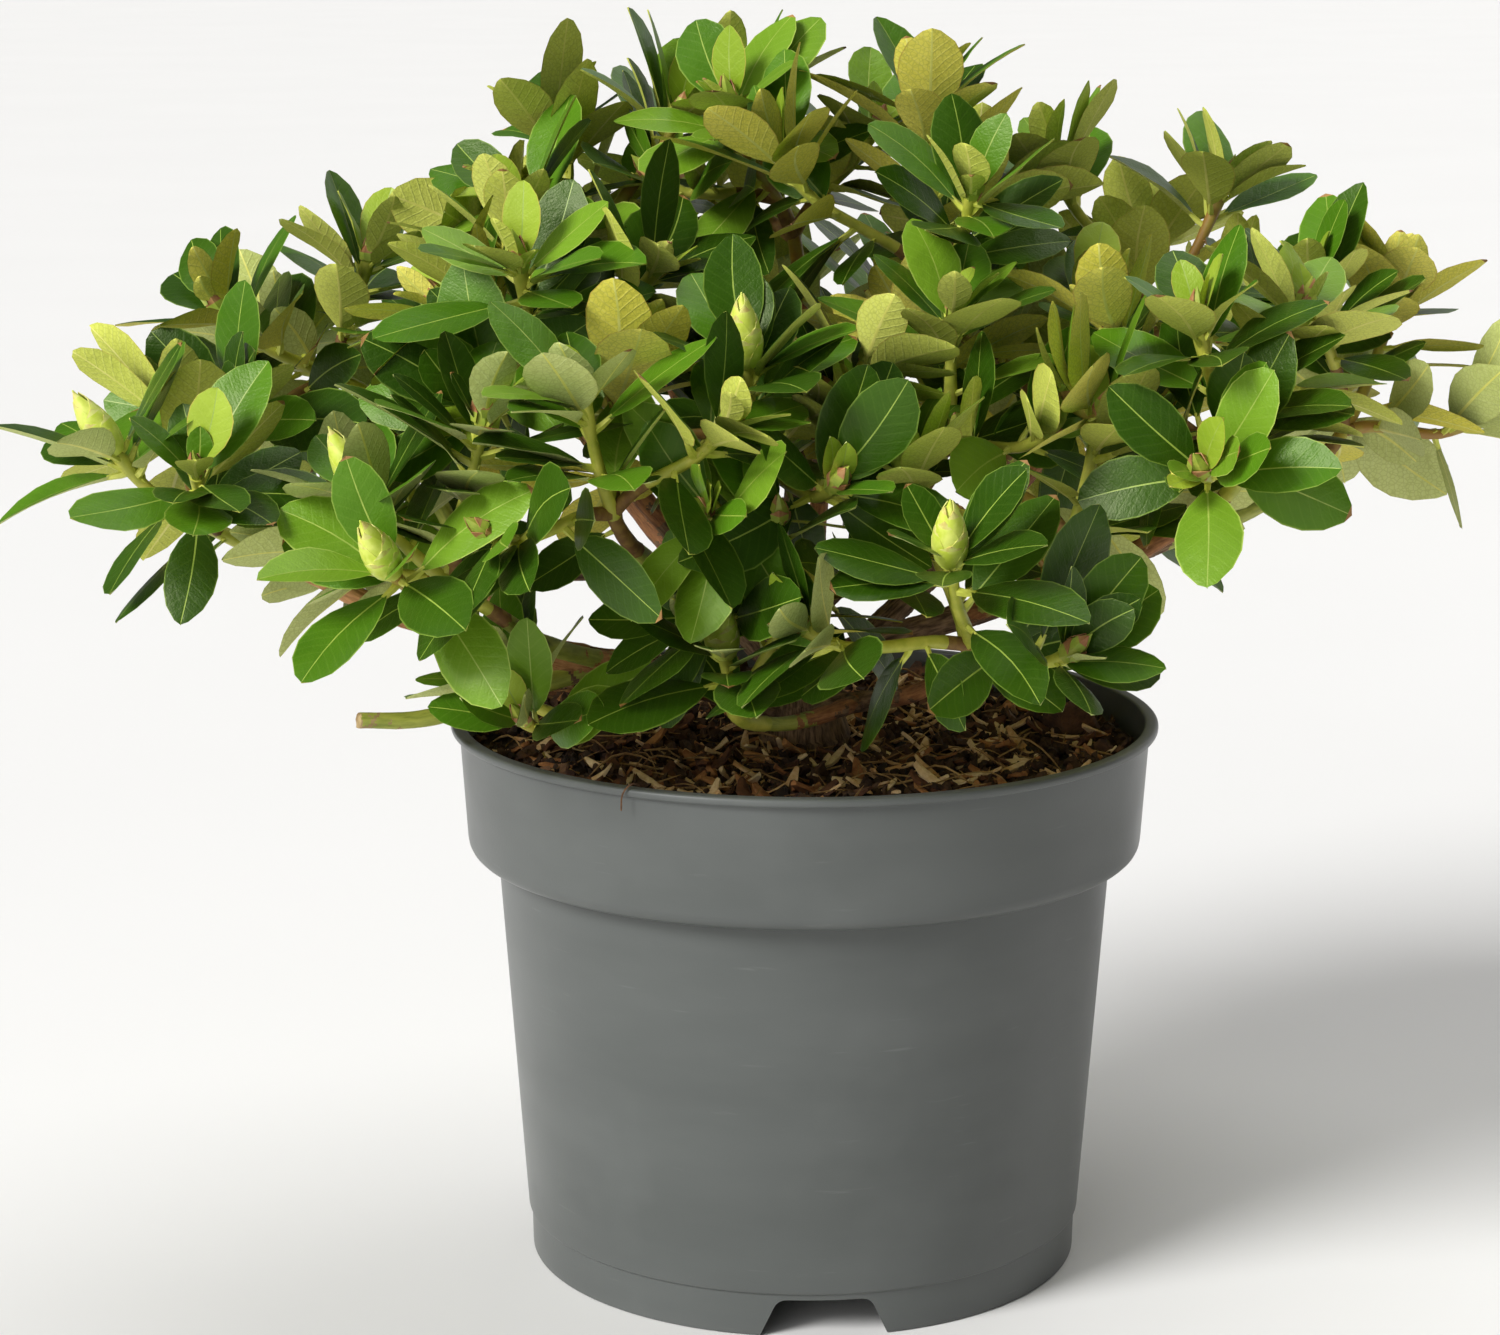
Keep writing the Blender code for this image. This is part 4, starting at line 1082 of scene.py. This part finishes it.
budPlaces = {"flower": [], "leafy": []}
for mass in crown.values():
    rng = seededBy(mass, "buds")
    for k, shoot in enumerate(mass["shoots"]):
        kind = "flower" if k < mass["flowers"] else "leafy"
        size = rng.uniform(*budSpec[kind]["sizes"]) * (sproutBud if shoot.get("sprout") else 1.0)
        budPlaces[kind].append((shoot["points"][-1], shoot["way"], size))
for kind, places in budPlaces.items():
    buildBuds(kind, places)


# Limbs: the trunk and boughs fused into one skin with the relief of bark

barkSpec = {
    "sides": 14, "spacing": 0.003, "footDepth": 0.007, "footFlare": 1.12, "swell": 0.09,
    "swellsPerMetre": 90, "voxel": 0.00085, "relief": 0.0006, "pitch": 0.0022, "stretch": 0.17,
    "fine": 2.8, "ragged": 7, "ragsPerMetre": 240, "fullRadius": 0.006, "reliefRange": (0.35, 1.3),
    "apart": 0.05, "chunk": 4000,      # each limb's grain starts elsewhere in the noise
}

barkSkins = [
    woodBark("old bark, grey brown", "#46321f", "#947659"),
    woodBark("peeling bark, orange brown", "#885629", "#c9945f", 0.0014, 0.75),
    woodBark("thin bark, red brown", "#76492a", "#b47a4a", 0.0012, 0.7, 0.0002),
    woodBark("green bark of a young bough", "#838e34", "#adb24c", 0.0016, 0.55, 0.00012),
    woodBark("cut wood, weathered", "#8a7048", "#b79f70", 0.002, 0.8, 0.0002),
]

# which bark a bough wears, from its foot to its tip, as (share along it, skin)
barkOf = {
    "left": ((0.35, 0), (1.0, 1)), "left_front": ((0.3, 1), (1.0, 3)),
    "left_high": ((0.5, 1), (1.0, 3)), "left_low": ((0.1, 0), (0.3, 2), (1.0, 3)),
    "pruned_stub": ((0.12, 0), (0.97, 3), (1.0, 4)), "left_mid": ((0.6, 0), (1.0, 2)),
    "front_left": ((0.4, 2), (1.0, 3)), "red": ((0.45, 0), (1.0, 2)),
    "front": ((0.7, 0), (1.0, 2)), "low_front": ((0.2, 0), (0.6, 2), (1.0, 3)),
    "mid_front": ((0.3, 2), (1.0, 3)), "right": ((0.55, 0), (1.0, 2)),
    "right_far": ((0.2, 0), (1.0, 3)), "right_mid": ((0.3, 2), (1.0, 3)),
}
barkDefault = ((0.6, 0), (1.0, 2))
barkDepth = (1.0, 0.9, 0.5, 0.2, 0.6)       # how much of the relief each skin has

# short broken twigs that stay on the wood: bough, share along it, bearing, rise, length, radius
snagTable = (
    ("right", 0.80, 20, 0.9, 0.011, 0.0017),
    ("right", 0.50, 250, 0.8, 0.008, 0.0013),
    ("left", 0.55, 110, 0.9, 0.010, 0.0014),
    ("left_mid", 0.45, 60, 0.4, 0.012, 0.0013),
    ("crown_top", 0.55, 200, 0.5, 0.010, 0.0013),
    ("front", 0.60, 230, 0.7, 0.009, 0.0014),
)
snagSpec = {"widths": (1.2, 1, 0.95, 0.8), "skins": [0, 0, 0, 4], "sides": 10}


def limbRings():       # every limb's fine centreline, with each ring's radius and bark
    spec = barkSpec
    rings = []
    for index, (name, (points, radii)) in enumerate(limbs.items()):
        path, sizes = [p.copy() for p in points], list(radii)
        if name == "trunk":
            path.insert(0, path[0] - up * spec["footDepth"])
            sizes.insert(0, sizes[0] * spec["footFlare"])
        fine = smoothPath(path, spec["spacing"])
        wide = np.interp(np.linspace(0, len(path) - 1, len(fine)), range(len(path)), sizes)
        wide = [w * (1 + spec["swell"] * noise.noise(p * spec["swellsPerMetre"] + up * index))
                for w, p in zip(wide, fine)]
        skins = ((1.0, 0),) if name == "trunk" else barkOf.get(name.replace("bough_", ""), barkDefault)
        last = len(fine) - 1
        kinds = [next(k for share, k in skins if i <= share * last) for i in range(len(fine))]
        rings.append((fine, wide, kinds, spec["sides"]))
    for bough, share, bearing, rise, length, radius in snagTable:
        start, _ = atShare(limbs["bough_" + bough][0], share)
        way = polar(bearing, 1, rise).normalized()
        fine = [start + way * length * k / 3 for k in range(4)]
        rings.append((fine, [radius * w for w in snagSpec["widths"]], snagSpec["skins"],
                      snagSpec["sides"]))
    return rings


def nearestSamples(found, samples):      # for each point, the ring whose surface is nearest
    nearest, chunk = np.empty(len(found), int), barkSpec["chunk"]
    for k in range(0, len(found), chunk):
        gap = np.linalg.norm(found[k:k + chunk, None] - samples[None, :, :3], axis=2)
        nearest[k:k + chunk] = np.argmin(gap - samples[None, :, 6], axis=1)
    return nearest


def buildLimbs():
    spec = barkSpec
    samples, shapes = [], []      # a sample: place, way, radius, length so far, bark, limb
    for index, (fine, wide, kinds, sides) in enumerate(limbRings()):
        shapes.append((tubeShape(fine, wide, sides), 0))
        along = 0.0
        for i, p in enumerate(fine):
            before, after = fine[max(i - 1, 0)], fine[min(i + 1, len(fine) - 1)]
            along += (p - before).length
            samples.append((*p, *(after - before).normalized(), wide[i], along, kinds[i], index))
    points, faces, _ = joinShapes(shapes)
    piece = makePiece("trunk_and_boughs", points, faces)
    fuse = piece.modifiers.new("fuse", "REMESH")
    fuse.mode, fuse.voxel_size, fuse.adaptivity = "VOXEL", spec["voxel"], 0.0
    settle(piece)
    mesh, samples = piece.data, np.array(samples)
    found, normals = [readNumbers(mesh.vertices, key, 3) for key in ("co", "normal")]
    nearest = nearestSamples(found, samples)
    own = samples[nearest]
    ragged = np.array([round(noise.noise(Vector(p) * spec["ragsPerMetre"]) * spec["ragged"])
                       for p in found])
    beside = samples[np.clip(nearest + ragged, 0, len(samples) - 1)]      # barks peel into each other
    kind = np.where(beside[:, 9] == own[:, 9], beside[:, 8], own[:, 8]).astype(int)
    offset, way, radius = found - own[:, :3], own[:, 3:6], own[:, 6]
    along = own[:, 7] + np.einsum("ij,ij->i", offset, way)
    sideWay = np.cross(way, np.array([0.3, 0.2, 0.93]))      # a way that no limb runs in
    sideWay /= np.linalg.norm(sideWay, axis=1)[:, None]
    angle = np.arctan2(np.einsum("ij,ij->i", offset, np.cross(way, sideWay)),
                       np.einsum("ij,ij->i", offset, sideWay))
    grain = np.stack([np.cos(angle) * radius + own[:, 9] * spec["apart"], along,
                      np.sin(angle) * radius], 1)
    lift = np.empty(len(found))
    for i, (x, y, z) in enumerate(grain):
        place = Vector((x, y * spec["stretch"], z)) / spec["pitch"]
        lift[i] = 0.5 - 2 * abs(noise.noise(place)) + 0.5 * noise.noise(place * spec["fine"])
    thick = np.clip(radius / spec["fullRadius"], *spec["reliefRange"])
    depth = np.array(barkDepth)[kind] * spec["relief"] * thick
    moved = found + normals * (lift * depth)[:, None]
    mesh.vertices.foreach_set("co", moved.astype(np.float32).ravel())
    addLayer(piece, "grain", "FLOAT_VECTOR", "POINT", grain.astype(np.float32).ravel())
    for skin in barkSkins:
        mesh.materials.append(skin)
    first = readNumbers(mesh.polygons, "loop_start", kind=np.int32)
    loops = readNumbers(mesh.loops, "vertex_index", kind=np.int32)
    mesh.polygons.foreach_set("material_index", kind[loops[first]].astype(np.int32))
    mesh.shade_smooth()
    mesh.update()
    declare(piece, limbs)


buildLimbs()


# Pot: the solids' profile again, round at its corners and with softened notches

potSpec = {
    "height": 0.179, "lipRadius": 0.115, "lipWidth": 0.0028, "lipHeight": 0.003,
    "collarFootRadius": 0.1096, "collarFootHeight": 0.136, "collarRounding": 0.005,
    "shoulderRadius": 0.1003, "seamRadius": 0.0916, "seamHeight": 0.0145, "skirtRadius": 0.0903,
    "wall": 0.0016, "floor": 0.002, "sides": 192, "smooth": 40, "notches": 3, "notchBearing": 273.5,
    "notchHeight": 0.0122, "notchLow": 0.040, "notchTop": 0.029, "notchRounding": 0.003,
    "drains": 4, "drainRadius": 0.005, "drainCircle": 0.066, "drainSides": 24, "cutPast": 0.002,
}


def roundedCorners(corners, arc=5):      # corners of x, y and how far their rounding reaches
    found = []
    for i, (x, y, rounding) in enumerate(corners):
        here = Vector((x, y))
        if rounding == 0 or i in (0, len(corners) - 1):
            found.append(here)
            continue
        before = Vector(corners[i - 1][:2]) - here
        after = Vector(corners[i + 1][:2]) - here
        size = min(rounding, before.length * 0.49, after.length * 0.49)
        a, b = here + before.normalized() * size, here + after.normalized() * size
        for k in range(arc + 1):
            t = k / arc
            found.append(a * (1 - t) ** 2 + here * 2 * t * (1 - t) + b * t * t)
    return found


def lathe(profile, sides, heightAt=None):
    corners, faces, rings = [], [], []
    for radius, height in profile:
        ring = []
        for k in range(sides if radius > 0 else 1):
            place = polar(360 * k / sides, radius, height)
            if heightAt:
                place.z = heightAt(place)
            corners.append(place)
            ring.append(len(corners) - 1)
        rings.append(ring)
    for low, high in zip(rings, rings[1:]):
        for k in range(sides):
            a, b = low[k % len(low)], low[(k + 1) % len(low)]
            c, d = high[(k + 1) % len(high)], high[k % len(high)]
            faces.append(tuple(dict.fromkeys((a, b, c, d))))
    return corners, faces


def notchShape(bearing):
    p = potSpec
    way = polar(bearing, 1.0, 0.0)
    side = Vector((-way.y, way.x, 0))
    below, flare = 0.004, (p["notchLow"] - p["notchTop"]) / p["notchHeight"]
    low, top = (p["notchLow"] + flare * below) / 2, p["notchTop"] / 2
    outline = roundedCorners([(-low, -below, 0), (-top, p["notchHeight"], p["notchRounding"]),
                              (top, p["notchHeight"], p["notchRounding"]), (low, -below, 0)])
    n = len(outline)
    ring = [way * r * p["skirtRadius"] + side * q.x + up * q.y for r in (0.8, 1.15) for q in outline]
    walls = [(i, (i + 1) % n, n + (i + 1) % n, n + i) for i in range(n)]
    return ring, walls + [tuple(range(n)), tuple(range(n, 2 * n))]


def buildPot():
    p = potSpec
    collarTop, lipFoot = p["lipRadius"] - p["lipWidth"], p["height"] - p["lipHeight"]
    low, foot = p["collarFootRadius"], p["collarFootHeight"]
    inside, shelf = p["skirtRadius"] - p["wall"], foot + p["wall"]
    corners = [      # radius, height and rounding, from the middle under the bottom round to its top
        (0.0, p["seamHeight"], 0), (inside - 0.0004, p["seamHeight"], 0.0012), (inside, 0.0, 0.0005),
        (p["skirtRadius"], 0.0, 0.0006), (p["seamRadius"] - 0.0010, p["seamHeight"] - 0.0007, 0.0004),
        (p["seamRadius"], p["seamHeight"], 0.0005), (p["shoulderRadius"], foot, 0.0016),
        (low, foot + 0.0004, p["collarRounding"]), (collarTop, lipFoot, 0.0007),
        (p["lipRadius"], lipFoot + 0.0004, 0.0012), (p["lipRadius"], p["height"], 0.0012),
        (collarTop - p["wall"], p["height"], 0.0008),
        (low - p["wall"], shelf + p["collarRounding"], 0.002),
        (low - p["wall"] - 0.003, shelf, 0.001), (p["shoulderRadius"] - p["wall"], shelf, 0.001),
        (p["seamRadius"] - p["wall"], p["seamHeight"] + p["floor"], 0.003),
        (0.0, p["seamHeight"] + p["floor"], 0),
    ]
    points, faces = lathe(roundedCorners(corners), p["sides"])
    pot = makePiece("pot_shell", points, faces, outward=True)
    shapes = [notchShape(p["notchBearing"] + 360 * k / p["notches"]) for k in range(p["notches"])]
    for k in range(p["drains"]):
        centre = polar(360 * (k + 0.5) / p["drains"], p["drainCircle"], p["seamHeight"])
        ends = [centre - up * p["cutPast"], centre + up * (p["floor"] + p["cutPast"])]
        shapes.append(tubeShape(ends, [p["drainRadius"]] * 2, p["drainSides"]))
    group = groupModels("pot cutters", [makePiece("cutter", *shape, outward=True) for shape in shapes])
    cut = pot.modifiers.new("cut", "BOOLEAN")
    cut.operation, cut.solver = "DIFFERENCE", "EXACT"
    cut.operand_type, cut.collection = "COLLECTION", group
    settle(pot)
    dropModels(group)
    pot.data.materials.clear()
    pot.data.materials.append(mouldedPlastic())
    softenEdges(pot.data, p["smooth"])
    declare(pot, ["pot"])


buildPot()


# Soil: a crumbly top on the filled pot, and the chips, crumbs and fibres that lie on it

soilSpec = {
    "sides": 220, "rings": 48, "level": 0.1675, "edge": 0.1098, "mound": Vector((-0.062, 0.046, 0)),
    "moundHeight": 0.013, "moundWidth": 0.028, "lumps": 0.0030, "lumpsPerMetre": 62,
    "crumbs": 0.0011, "crumbsPerMetre": 260, "clear": 0.0002, "smooth": 80,
}


def soilHeight(place):
    s = soilSpec
    flat = Vector((place.x, place.y, 0))
    away = (flat - s["mound"]).length / s["moundWidth"]
    rise = s["moundHeight"] * math.exp(-away * away)
    lumps = noise.fractal(flat * s["lumpsPerMetre"], 1.0, 2.0, 3) * s["lumps"]
    pitch = s["crumbsPerMetre"]
    crumbs = (abs(noise.noise(flat * pitch)) * 2 + abs(noise.noise(flat * pitch * 2))) * s["crumbs"]
    return s["level"] + rise + lumps + crumbs


def buildSoil():
    s, p = soilSpec, potSpec
    clear = p["wall"] + s["clear"]
    shelf = p["collarFootHeight"] + p["wall"] + s["clear"]
    floorTop = p["seamHeight"] + p["floor"] + s["clear"]
    low = [(0.0, floorTop), (p["seamRadius"] - clear - 0.002, floorTop),
           (p["shoulderRadius"] - clear - 0.0008, shelf),
           (p["collarFootRadius"] - clear - 0.004, shelf + 0.001),
           (p["collarFootRadius"] - clear, shelf + p["collarRounding"] + 0.002),
           (s["edge"], s["level"] - 0.003)]
    top = [(s["edge"] * (s["rings"] - k) / s["rings"], s["level"]) for k in range(s["rings"] + 1)]
    points, faces = lathe(low + top, s["sides"],
                          lambda place: soilHeight(place) if place.z == s["level"] else place.z)
    skin = looseStuff("moist peat compost", "#1a100a", "#46301f", 0.0024, 0.0008)
    declare(makePiece("soil_surface", points, faces, [skin], smooth=s["smooth"]), ["soil"])


# kinds of litter: length in metres, width and thickness as shares of it, how many to the square
# metre, how far out they lie, tilt in radians, sizes, lift in metres, two colours
litterKeys = ("long", "width", "thickness", "density", "reach", "tilt", "sizes", "lift", "colours")
litterTable = {
    "bark_chips_dark": (0.013, 0.36, 0.16, 5600, 0.101, 0.45, (0.6, 1.35), 0.0012,
                        ("#3a2318", "#74492c")),
    "bark_chips_brown": (0.013, 0.26, 0.14, 4200, 0.101, 0.55, (0.6, 1.3), 0.0016,
                         ("#7d4c28", "#bb8350")),
    "bark_chips_tan": (0.013, 0.21, 0.12, 6200, 0.101, 0.6, (0.5, 1.35), 0.0021,
                       ("#c39058", "#f6dcae")),
    "compost_crumbs": (0.0042, 0.8, 0.6, 42000, 0.1065, 1.2, (0.45, 1.4), 0.0013,
                       ("#22160d", "#5b4029")),
    "fibres": (0.022, 0.015, 0.02, 9000, 0.096, 0.4, (0.5, 1.2), 0.0026, ("#7a5733", "#b8955f")),
}
litterSpec = {"models": 5, "modelSeed": 50, "scatterSeed": 7, "rings": 26, "sides": 96, "smooth": 35,
              "patch": 0.0035, "depth": 0.0004}


def strandModel(kind, rng):
    long, wide = kind["long"], kind["long"] * kind["width"]
    bendX, bendY = rng.uniform(-0.5, 0.5), rng.uniform(-0.25, 0.25)
    path = [Vector((long * (t - 0.5), long * bendX * (t - 0.5) ** 2 * 2,
                    long * bendY * math.sin(math.pi * t))) for t in (0, 0.2, 0.4, 0.6, 0.8, 1)]
    return tubeShape(path, [wide * w for w in (0.4, 1, 1, 1, 0.9, 0.3)], 4)


def chipModel(kind, rng):      # five crosswise outlines of five corners, broad in the middle
    long, wide, thick = kind["long"], kind["long"] * kind["width"], kind["long"] * kind["thickness"]
    corners = []
    for t in (0, 0.22, 0.5, 0.78, 1):
        w = wide * (0.2 + 0.8 * math.sin(math.pi * (0.08 + 0.84 * t))) * rng.uniform(0.82, 1.12)
        h = thick * rng.uniform(0.6, 1.1)
        curl = thick * 1.6 * (t - 0.5) ** 2 * rng.uniform(0, 2)
        corners += [Vector((long * (t - 0.5), edge * w / 2,
                            curl + level * h / 2 + rng.uniform(-0.15, 0.15) * h))
                    for edge, level in ((-1, -0.6), (1, -0.6), (1, 0.5), (0.1, 1.0), (-1, 0.4))]
    faces = [(a * 5 + b, a * 5 + (b + 1) % 5, (a + 1) * 5 + (b + 1) % 5, (a + 1) * 5 + b)
             for a in range(4) for b in range(5)]
    return corners, faces + [tuple(reversed(range(5))), tuple(range(20, 25))]


def scatterTree():
    tree, given = startTree("Scatter on soil", (
        ("Chips", "Collection"), ("Density", "Float"), ("Seed", "Int"), ("Tilt", "Float"),
        ("Smallest", "Float"), ("Largest", "Float"), ("Lift", "Float"), ("Material", "Material")))
    spots = addNode(tree, "GeometryNodeDistributePointsOnFaces", links={
        "Mesh": given["Geometry"], "Density": given["Density"], "Seed": given["Seed"]})
    raised = addNode(tree, "ShaderNodeCombineXYZ", links={"Z": given["Lift"]})
    lifted = addNode(tree, "GeometryNodeSetPosition", links={
        "Geometry": spots.outputs["Points"], "Offset": raised.outputs[0]})
    lowTilt = addNode(tree, "ShaderNodeMath", {"operation": "MULTIPLY"}, {1: -1.0}, {0: given["Tilt"]})
    low = addNode(tree, "ShaderNodeCombineXYZ", links={
        "X": lowTilt.outputs[0], "Y": lowTilt.outputs[0]})
    high = addNode(tree, "ShaderNodeCombineXYZ", values={"Z": 2 * math.pi},
                   links={"X": given["Tilt"], "Y": given["Tilt"]})
    turn = addNode(tree, "FunctionNodeRandomValue", {"data_type": "FLOAT_VECTOR"}, links={
        0: low.outputs[0], 1: high.outputs[0], "Seed": given["Seed"]})
    size = addNode(tree, "FunctionNodeRandomValue", {"data_type": "FLOAT"}, links={
        2: given["Smallest"], 3: given["Largest"], "Seed": given["Seed"]})
    chips = addNode(tree, "GeometryNodeCollectionInfo", values={
        "Separate Children": True, "Reset Children": True}, links={"Collection": given["Chips"]})
    placed = addNode(tree, "GeometryNodeInstanceOnPoints", values={"Pick Instance": True}, links={
        "Points": lifted.outputs["Geometry"], "Instance": chips.outputs["Instances"],
        "Rotation": turn.outputs[0], "Scale": size.outputs[1]})
    real = addNode(tree, "GeometryNodeRealizeInstances", links={
        "Geometry": placed.outputs["Instances"]})
    last = addNode(tree, "GeometryNodeSetMaterial", links={
        "Geometry": real.outputs["Geometry"], "Material": given["Material"]})
    addNode(tree, "NodeGroupOutput", links={"Geometry": last.outputs["Geometry"]})
    return tree


def buildLitter():
    spec, tree = litterSpec, scatterTree()
    for index, (name, row) in enumerate(litterTable.items()):
        kind = dict(zip(litterKeys, row))
        rng = random.Random(spec["modelSeed"] + index)
        makeModel = strandModel if name == "fibres" else chipModel
        models = [makePiece(f"chip{k}", *makeModel(kind, rng), outward=True)
                  for k in range(spec["models"])]
        group = groupModels("chips", models)
        rings = [(kind["reach"] * k / spec["rings"], 0.0) for k in range(spec["rings"], -1, -1)]
        piece = makePiece(name, *lathe(rings, spec["sides"], soilHeight))
        skin = looseStuff(name.replace("_", " "), *kind["colours"], spec["patch"], spec["depth"])
        smallest, largest = kind["sizes"]
        runTree(piece, tree, Chips=group, Density=float(kind["density"]),
                Seed=spec["scatterSeed"] + index, Tilt=kind["tilt"], Smallest=smallest,
                Largest=largest, Lift=kind["lift"], Material=skin)
        dropModels(group)
        softenEdges(piece.data, spec["smooth"])
        declare(piece)


# large flakes of bark: place of the foot, bearing it faces, lean from upright, width, height
flakeTable = (
    ((0.090, 0.016, 0.166), 250, 38, 0.020, 0.026),
    ((0.080, 0.030, 0.166), 230, 55, 0.018, 0.020),
    ((0.097, -0.006, 0.167), 285, 62, 0.015, 0.018),
    ((-0.086, -0.040, 0.167), 310, 66, 0.014, 0.018),
    ((-0.030, 0.088, 0.168), 80, 60, 0.018, 0.020),
)
flakeSpec = {"columns": 7, "rows": 7, "thick": 0.0026, "sunk": 0.003, "ragged": 0.22, "bulge": 0.22,
             "uneven": 0.0012, "smooth": 40}

# the fibre that hangs over the rim: its bearing, then how far out and how high it passes
rimFibre = {"bearing": 242, "path": ((0.098, 0.170), (0.107, 0.177), (0.1142, 0.1806),
                                     (0.1162, 0.1775), (0.1164, 0.1725)),
            "sway": 0.002, "radius": 0.00028, "spacing": 0.0015}


def flakeShape(foot, bearing, lean, width, height):
    spec = flakeSpec
    face, side = polar(bearing, 1, 0), polar(bearing + 90, 1, 0)
    tilt = math.radians(lean)
    rise = up * math.cos(tilt) + face * math.sin(tilt)
    out = face * math.cos(tilt) - up * math.sin(tilt)

    def place(layer, r, c):
        x, y = c / spec["columns"] * 2 - 1, r / spec["rows"]
        ragged = 1 + spec["ragged"] * noise.noise(Vector((x * 2, y * 3, bearing)))
        bulge = (spec["bulge"] * (1 - x * x) * width
                 + spec["uneven"] * noise.noise(Vector((x * 3, y * 4, lean))))
        edge = width / 2 * (1 - 0.5 * y * y) * ragged
        return (Vector(foot) + side * x * edge + rise * (y * ragged * height - spec["sunk"])
                + out * (bulge - layer * spec["thick"] * (1 - 0.5 * y)))

    return closedGrid(spec["rows"], spec["columns"], place)


def buildFlakes():
    spec = rimFibre
    shapes = [(flakeShape(*row), 0) for row in flakeTable]
    rimWay = polar(spec["bearing"], 1, 0)
    strand = [rimWay * r + up * z + polar(spec["bearing"] + 90, spec["sway"] * math.sin(k * 1.3), 0)
              for k, (r, z) in enumerate(spec["path"])]
    fine = smoothPath(strand, spec["spacing"])
    shapes.append((tubeShape(fine, [spec["radius"]] * len(fine), 5), 1))
    skins = [looseStuff("pine bark flake, dark brown", "#35231a", "#7a5638", 0.003, 0.0008, 0.85),
             looseStuff("root fibre, brown", "#4a3220", "#7d5a3a", 0.003, 0.0001)]
    points, faces, kinds = joinShapes(shapes)
    piece = makePiece("bark_flakes", points, faces, skins, kinds, flakeSpec["smooth"], True)
    declare(piece)


buildSoil()
buildLitter()
buildFlakes()


# Studio: a pale floor, soft light, and the camera where the photo was taken from

studioSpec = {
    "floor": ("#e7e6e4", "#ebeae8"), "floorHalf": 30, "floorPatch": 0.4, "floorBelow": 0.0002,
    "sky": "#ffffff", "skyStrength": 0.07,
    "lights": (      # name, place it shines from, angle across in degrees, strength
        ("key", (-1.25, -1.0, 1.08), 24, 3.6),
        ("front", (-0.8, -1.25, 0.4), 50, 1.15),
        ("top", (0.25, 0.25, 1.7), 45, 1.0),
        ("back", (0.9, 1.2, 0.9), 60, 0.6),
    ),
    "camera": (-0.01768, -1.14905, 0.4398), "pitch": 0.21032, "focal": 3609.8 / 1500,
    "sensor": 36.0, "clip": (0.05, 80),
}


def buildStudio():
    s = studioSpec
    skin, tree, shader, place = startMaterial("matt painted board", 0.7)
    shade = addNode(tree, "ShaderNodeTexNoise", values={"Scale": 1 / s["floorPatch"]},
                    links={"Vector": place})
    colour = addNode(tree, "ShaderNodeMix", {"data_type": "RGBA"}, {6: s["floor"][0], 7: s["floor"][1]},
                     {0: shade.outputs[0]})
    tree.links.new(colour.outputs[2], shader.inputs["Base Color"])
    half = s["floorHalf"]
    corners = [(-half, -half, 0), (half, -half, 0), (half, half, 0), (-half, half, 0)]
    floor = makePiece("floor", corners, [(0, 1, 2, 3)], [skin])
    floor.location.z = -s["floorBelow"]
    world = bpy.data.worlds.new("studio")
    scene.world = world
    world.use_nodes = True
    sky = world.node_tree.nodes["Background"]
    sky.inputs["Color"].default_value = hexColour(s["sky"])
    sky.inputs["Strength"].default_value = s["skyStrength"]
    for name, place, wide, strength in s["lights"]:
        light = bpy.data.lights.new(name, "SUN")
        light.angle, light.energy = math.radians(wide), strength
        lamp = bpy.data.objects.new(name, light)
        scene.collection.objects.link(lamp)
        lamp.location = place
        lamp.rotation_euler = (-Vector(place)).to_track_quat("-Z", "Y").to_euler()
    camera = bpy.data.objects.new("camera", bpy.data.cameras.new("camera"))
    scene.collection.objects.link(camera)
    lens = camera.data
    lens.sensor_width, lens.lens = s["sensor"], s["sensor"] * s["focal"]
    lens.clip_start, lens.clip_end = s["clip"]
    camera.location = s["camera"]
    camera.rotation_euler = (math.pi / 2 - s["pitch"], 0, 0)
    scene.camera = camera
    scene.view_settings.view_transform = "Standard"
    print("studio:", len(s["lights"]), "lights, camera and floor")


buildStudio()
